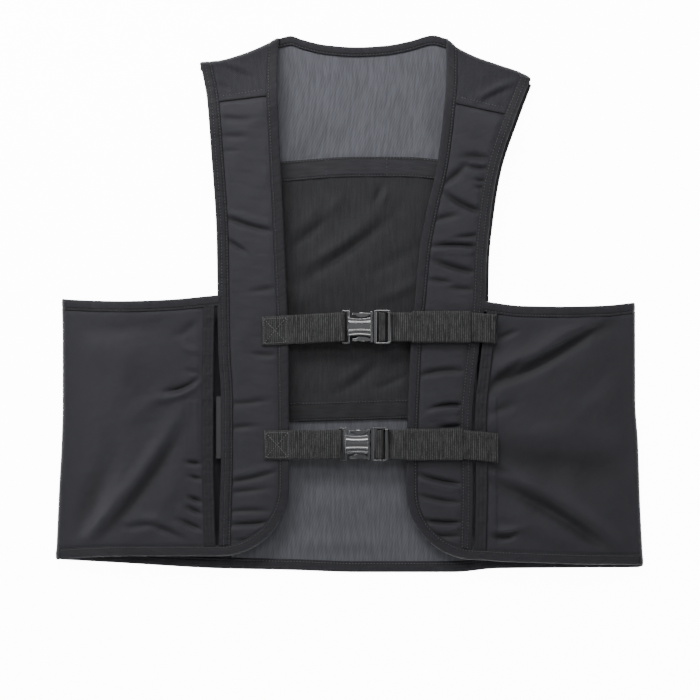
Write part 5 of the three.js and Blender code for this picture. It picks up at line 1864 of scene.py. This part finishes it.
@dataclass
class Strap:
    """One webbing strap with its buckle."""

    name: str
    finishes: Finishes
    up: float
    joint: float
    left_end: float
    left_turn: float
    sewn: float
    keeper_start: float
    keeper_end: float
    tail_end: float
    tail_turn: float
    width: float = 30 * MM
    thick: float = 1.4 * MM
    rib: float = 1.9 * MM
    rib_depth: float = 0.35 * MM
    gap: float = 0.3 * MM
    level: float = 18.8 * MM
    buckle_level: float = 19.8 * MM
    housing: float = 32 * MM

    @property
    def middle_y(self) -> float:
        """The strap's middle along the vest."""
        return (self.up - 0.5) * LENGTH

    def ribbon(
        self, line: Array, turn_from: float, side: int, turn: float, name: str, node: str,
    ) -> None:
        """Makes a length of ribbed webbing along a line of X and Z.

        Args:
            line: Its middle line, seen from the side.
            turn_from: The X past which it is turned in its plane.
            side: Which way is past.
            turn: How far it is turned, in degrees.
            name: The piece's name.
            node: The solid that it stands for.
        """
        steps = np.linalg.norm(np.diff(line, axis=0), axis=1)
        run = np.concatenate([[0], np.cumsum(steps)])
        place = np.linspace(0, run[-1], max(8, int(run[-1] / (0.38 * MM))))
        x, z = (np.interp(place, run, line[:, k]) for k in (0, 1))
        kernel = np.hanning(9) / np.hanning(9).sum()
        for values in (x, z):
            padded = np.pad(values, 4, mode="reflect", reflect_type="odd")
            values[:] = np.convolve(padded, kernel, mode="valid")
        half = self.width / 2
        u = np.linspace(-1, 1, 19)
        y = u[None, :] * half
        past = np.maximum(0, side * (x - turn_from))[:, None]
        y = self.middle_y + y + side * past * math.tan(math.radians(turn))
        across, above = (np.broadcast_to(values[:, None], y.shape) for values in (x, z))
        grid = np.stack([across, y, above], axis=-1)
        ribs = np.abs(np.sin(math.pi * place / self.rib))[:, None] ** 0.7
        edge = 1 - 0.45 * np.abs(u[None, :]) ** 10
        thick = (self.thick - self.rib_depth + self.rib_depth * ribs) * edge
        shift = 0.05 * MM * np.sin(place / (0.9 * MM))[:, None] * np.abs(u[None, :]) ** 6
        grid[..., 1] += shift
        cloth = Cloth(name, grid, thick, Slot.WEBBING, node, Held.LAID, ["back_panel"])
        if cloth.normals()[len(grid) // 6, 9, 2] < 0:
            cloth.middle, cloth.thickness = grid[:, ::-1], thick[:, ::-1]
        cloth.build(self.finishes.webbing)

    def build(self) -> None:
        """Makes the webbing, keeper and buckle."""
        joint = self.joint * HALF_WIDTH
        bar = joint - self.housing + 1.2 * MM
        radius = math.hypot(2.4, 2.0) / 2 * MM + 0.95 * MM
        level, buckle = self.level, self.buckle_level
        angle = np.linspace(0, math.pi, 13)
        turn_x, turn_z = bar + radius * np.sin(angle), buckle + radius * np.cos(angle)
        fold = 15 * MM
        joined = mix(level, buckle + radius, 0.5)
        left = self.left_end * HALF_WIDTH
        line = np.concatenate([
            [[left, level], [bar - 2 * fold, level], [bar - fold, joined]],
            np.stack([turn_x, turn_z], axis=-1),
            [[bar - fold / 3, joined - 1.9 * MM], [bar - fold, joined - 1.75 * MM]],
        ])
        self.ribbon(
            line, joint - self.housing - 2 * MM, -1, self.left_turn,
            f"{self.name}_left_ribbon", f"{self.name}_left_webbing",
        )
        self.sew_left(left, joint - self.housing - 2 * MM)
        self.add_right(joint)
        BucklePad(self.name, joint, self.middle_y, self.finishes.plastic).build()

    def sew_left(self, left: float, turn_from: float) -> None:
        """Sews the box and cross at the left end.

        Args:
            left: Where the webbing ends.
            turn_from: Where it starts to turn.
        """
        slope = math.tan(math.radians(self.left_turn))

        def line(*stops: tuple[float, float]) -> Array:
            """Gives points along straight runs on top of the webbing."""
            points = np.concatenate([
                np.linspace(a, b, 12) for a, b in zip(stops[:-1], stops[1:])
            ])
            y = self.middle_y + points[:, 1] - np.maximum(0, turn_from - points[:, 0]) * slope
            z = np.full(len(points), self.level + self.thick / 2 + 0.12 * MM)
            return np.stack([points[:, 0], y, z], axis=-1)

        near, far, half = left + 2 * MM, left + 25 * MM, 12.6 * MM
        threads = Threads(f"{self.name}_strap_stitches", Slot.WEBBING, self.finishes.pale_thread)
        rows = [
            line((near, half), (far, half), (far, -half), (near, -half), (near, half)),
            line((near, half), (far, -half)),
            line((near, -half), (far, half)),
        ]
        for row in rows:
            threads.follow(row, upward(len(row)), 2.6 * MM, 0.4 * MM)
        threads.build()

    def add_right(self, joint: float) -> None:
        """Makes the right webbing with its tail, and the keeper round it."""
        level, buckle = self.level, self.buckle_level
        start, end, tail = (
            v * HALF_WIDTH for v in (self.keeper_start, self.keeper_end, self.tail_end)
        )
        gap = self.gap + self.thick / 2
        bar_left, bar_right, past = (joint + v * MM for v in (7.4, 12.2, 15.6))
        bar_top = 1.4 * MM + gap
        tail_low = -1.8 * MM - gap - 0.1 * MM
        standing = tail_low - self.thick - self.gap
        tail_height = level + self.thick / 2 + self.gap + 1.4 * MM + self.thick / 2
        leave = joint + 21 * MM
        rise = mix(leave, start, 0.75)
        line = np.array([
            [self.sewn * HALF_WIDTH, level],
            [rise, level],
            [leave, buckle + standing],
            [past - 0.6 * MM, buckle + standing],
            [bar_right - 0.7 * MM, buckle - bar_top - 0.2 * MM],
            [bar_left + 0.5 * MM, buckle - bar_top],
            [bar_left - gap * 0.8, buckle - bar_top * 0.7],
            [bar_left - gap, buckle],
            [bar_left - gap * 0.8, buckle + bar_top * 0.7],
            [bar_left + 0.5 * MM, buckle + bar_top],
            [bar_right + 0.3 * MM, buckle + bar_top],
            [bar_right + gap + 0.8 * MM, buckle + 0.2 * MM],
            [past - gap * 1.2, buckle - 1.8 * MM],
            [past + 0.3 * MM, buckle + tail_low],
            [joint + 19.6 * MM, buckle + tail_low + 0.1 * MM],
            [rise - 2 * MM, tail_height],
            [start, tail_height],
            [end, tail_height],
            [tail - 1 * MM, tail_height],
            [tail, tail_height + 0.5 * MM],
            [tail, tail_height + 1.3 * MM],
            [tail - 1 * MM, tail_height + 1.7 * MM],
            [tail - 5 * MM, tail_height + 1.7 * MM],
        ])
        self.ribbon(
            line, end, 1, self.tail_turn, f"{self.name}_right_ribbon",
            f"{self.name}_right_webbing",
        )
        self.add_keeper(start, end, tail_height)

    def add_keeper(self, start: float, end: float, height: float) -> None:
        """Makes the flat loop that holds the tail down."""
        half, corner = self.width / 2 + 0.9 * MM, self.thick / 2 + 0.9 * MM
        angle = np.linspace(-math.pi / 2, math.pi / 2, 9)
        right = np.stack([half - corner + corner * np.cos(angle), corner * np.sin(angle)], -1)
        left = -right
        top = np.linspace(right[-1], left[0], 16)[1:-1]
        low = np.linspace(left[-1], right[0], 16)[1:-1]
        loop = np.concatenate([low[7:], right, top, left, low[:8]])
        x = np.linspace(start, end, int((end - start) / (0.45 * MM)))
        ribs = np.abs(np.sin(math.pi * x / self.rib))[:, None] ** 0.7
        grid = np.stack([
            np.broadcast_to(x[:, None], (len(x), len(loop))),
            np.broadcast_to(self.middle_y + loop[None, :, 0], (len(x), len(loop))),
            np.broadcast_to(height + loop[None, :, 1], (len(x), len(loop))),
        ], axis=-1)
        wall = (0.75 + 0.3 * ribs + 0 * grid[..., 0]) * MM
        cloth = Cloth(
            f"{self.name}_keeper_ribbon", grid[:, ::-1], wall, Slot.WEBBING,
            f"{self.name}_strap_keeper", Held.FOLDED, ["back_panel"],
        )
        cloth.build(self.finishes.webbing)


# Each soft box's name, place, size and power in watts.
SOFT_BOXES = (
    ("key_light", (-0.8, 1.6, 1.3), (1.8, 0.45), 93.0),
    ("front_light", (0.3, -1.9, 1.2), (1.8, 0.3), 22.0),
    ("side_light", (-1.9, -0.1, 1.0), (1.4, 0.3), 14.0),
    ("edge_light", (0.1, 1.0, 2.2), (1.2, 0.5), 34.0),
    ("right_light", (1.1, 0.0, 2.4), (0.5, 1.2), 9.0),
    ("top_light", (0.0, 0.12, 2.7), (0.8, 0.8), 1.8),
)


@dataclass
class Studio:
    """The floor, the lights and the camera."""

    finishes: Finishes
    field_width: float = 0.7217
    lens: float = 85.0
    sensor: float = 36.0
    focus_height: float = 0.016
    aim: tuple[float, float] = (0.0004, -0.0489)
    room_light: float = 0.33
    floor_size: float = 6.0
    floor_height: float = -0.5 * MM

    def build(self) -> None:
        """Sets up everything round the vest."""
        self.add_floor()
        for light in SOFT_BOXES:
            self.add_light(*light)
        world = bpy.data.worlds.new("pale_room")
        world.use_nodes = True
        back = world.node_tree.nodes["Background"]
        back.inputs["Color"].default_value = (1, 1, 1, 1)
        back.inputs["Strength"].default_value = self.room_light
        bpy.context.scene.world = world
        self.add_camera()

    def add_floor(self) -> None:
        """Lays the table top."""
        bpy.ops.mesh.primitive_plane_add(
            size=self.floor_size, location=(0, 0, self.floor_height)
        )
        floor = bpy.context.object
        floor.name = "table_top"
        floor.data.materials.append(self.finishes.floor)

    def add_light(
        self, name: str, place: tuple[float, float, float], size: tuple[float, float], power: float
    ) -> None:
        """Hangs a soft box that looks at the vest."""
        bpy.ops.object.light_add(type="AREA", location=place)
        lamp = bpy.context.object
        lamp.name = name
        lamp.data.shape = "RECTANGLE"
        lamp.data.size, lamp.data.size_y = size
        lamp.data.energy = power
        aim = -np.array(place)
        flat = math.hypot(aim[0], aim[1])
        lamp.rotation_euler = (math.atan2(flat, -aim[2]), 0, math.atan2(-aim[0], aim[1]))

    def add_camera(self) -> None:
        """Puts the camera straight above, framed as the picture is."""
        distance = self.field_width * self.lens / self.sensor
        place = (self.aim[0], self.aim[1], self.focus_height + distance)
        bpy.ops.object.camera_add(location=place, rotation=(0, 0, 0))
        camera = bpy.context.object
        camera.name = "above"
        camera.data.lens = self.lens
        camera.data.sensor_width = self.sensor
        camera.data.clip_start = 0.05
        camera.data.clip_end = 20
        bpy.context.scene.camera = camera


def dress_solids(frame: dict, finishes: Finishes) -> None:
    """Gives the carried-over solids their finishes.

    Args:
        frame: The loaded frame.
        finishes: The materials.
    """
    wanted = {"slit_closing_tape": finishes.tape}
    for strap in ("upper", "lower"):
        for half in ("housing", "plug"):
            wanted[f"{strap}_buckle_{half}"] = finishes.plastic
    for name, material in wanted.items():
        thing = frame["nodes"][name]
        thing.data.materials.clear()
        thing.data.materials.append(material)
        if "buckle" in name:
            weld = thing.modifiers.new("weld", "WELD")
            weld.merge_threshold = 0.00001
            bevel = thing.modifiers.new("rounding", "BEVEL")
            bevel.width = 0.0007
            bevel.use_clamp_overlap = False
            bevel.segments = 4
            bevel.limit_method = "ANGLE"
            bevel.angle_limit = math.radians(40)


def main() -> None:
    """Builds the whole vest and its surroundings."""
    logging.basicConfig(level=logging.INFO, format="%(name)s: %(message)s")
    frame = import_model()
    bpy.ops.object.select_all(action="DESELECT")
    finishes = Finishes()
    dress_solids(frame, finishes)
    left, right = Half("left", LEFT_OUTLINE), Half("right", RIGHT_OUTLINE)
    Back(left, right, finishes).build()
    Side(left, finishes, LEFT_WING_FOLDS, LEFT_PANEL_FOLDS, LEFT_YOKE_FOLDS, seed=3).build()
    Side(
        right, finishes, RIGHT_WING_FOLDS, RIGHT_PANEL_FOLDS, RIGHT_YOKE_FOLDS, seed=7,
        fold_depth=2.5, wing_depth=2.1,
    ).build()
    Strap(
        "upper", finishes, up=0.455, joint=0.078, left_end=-0.296, left_turn=3.2, sewn=0.27,
        keeper_start=0.211, keeper_end=0.407, tail_end=0.492, tail_turn=-5,
    ).build()
    Strap(
        "lower", finishes, up=0.2395, joint=0.069, left_end=-0.289, left_turn=0.7, sewn=0.27,
        keeper_start=0.191, keeper_end=0.38, tail_end=0.498, tail_turn=-6,
    ).build()
    Studio(finishes).build()
    LOG.info("built")


if __name__ == "__main__":
    main()
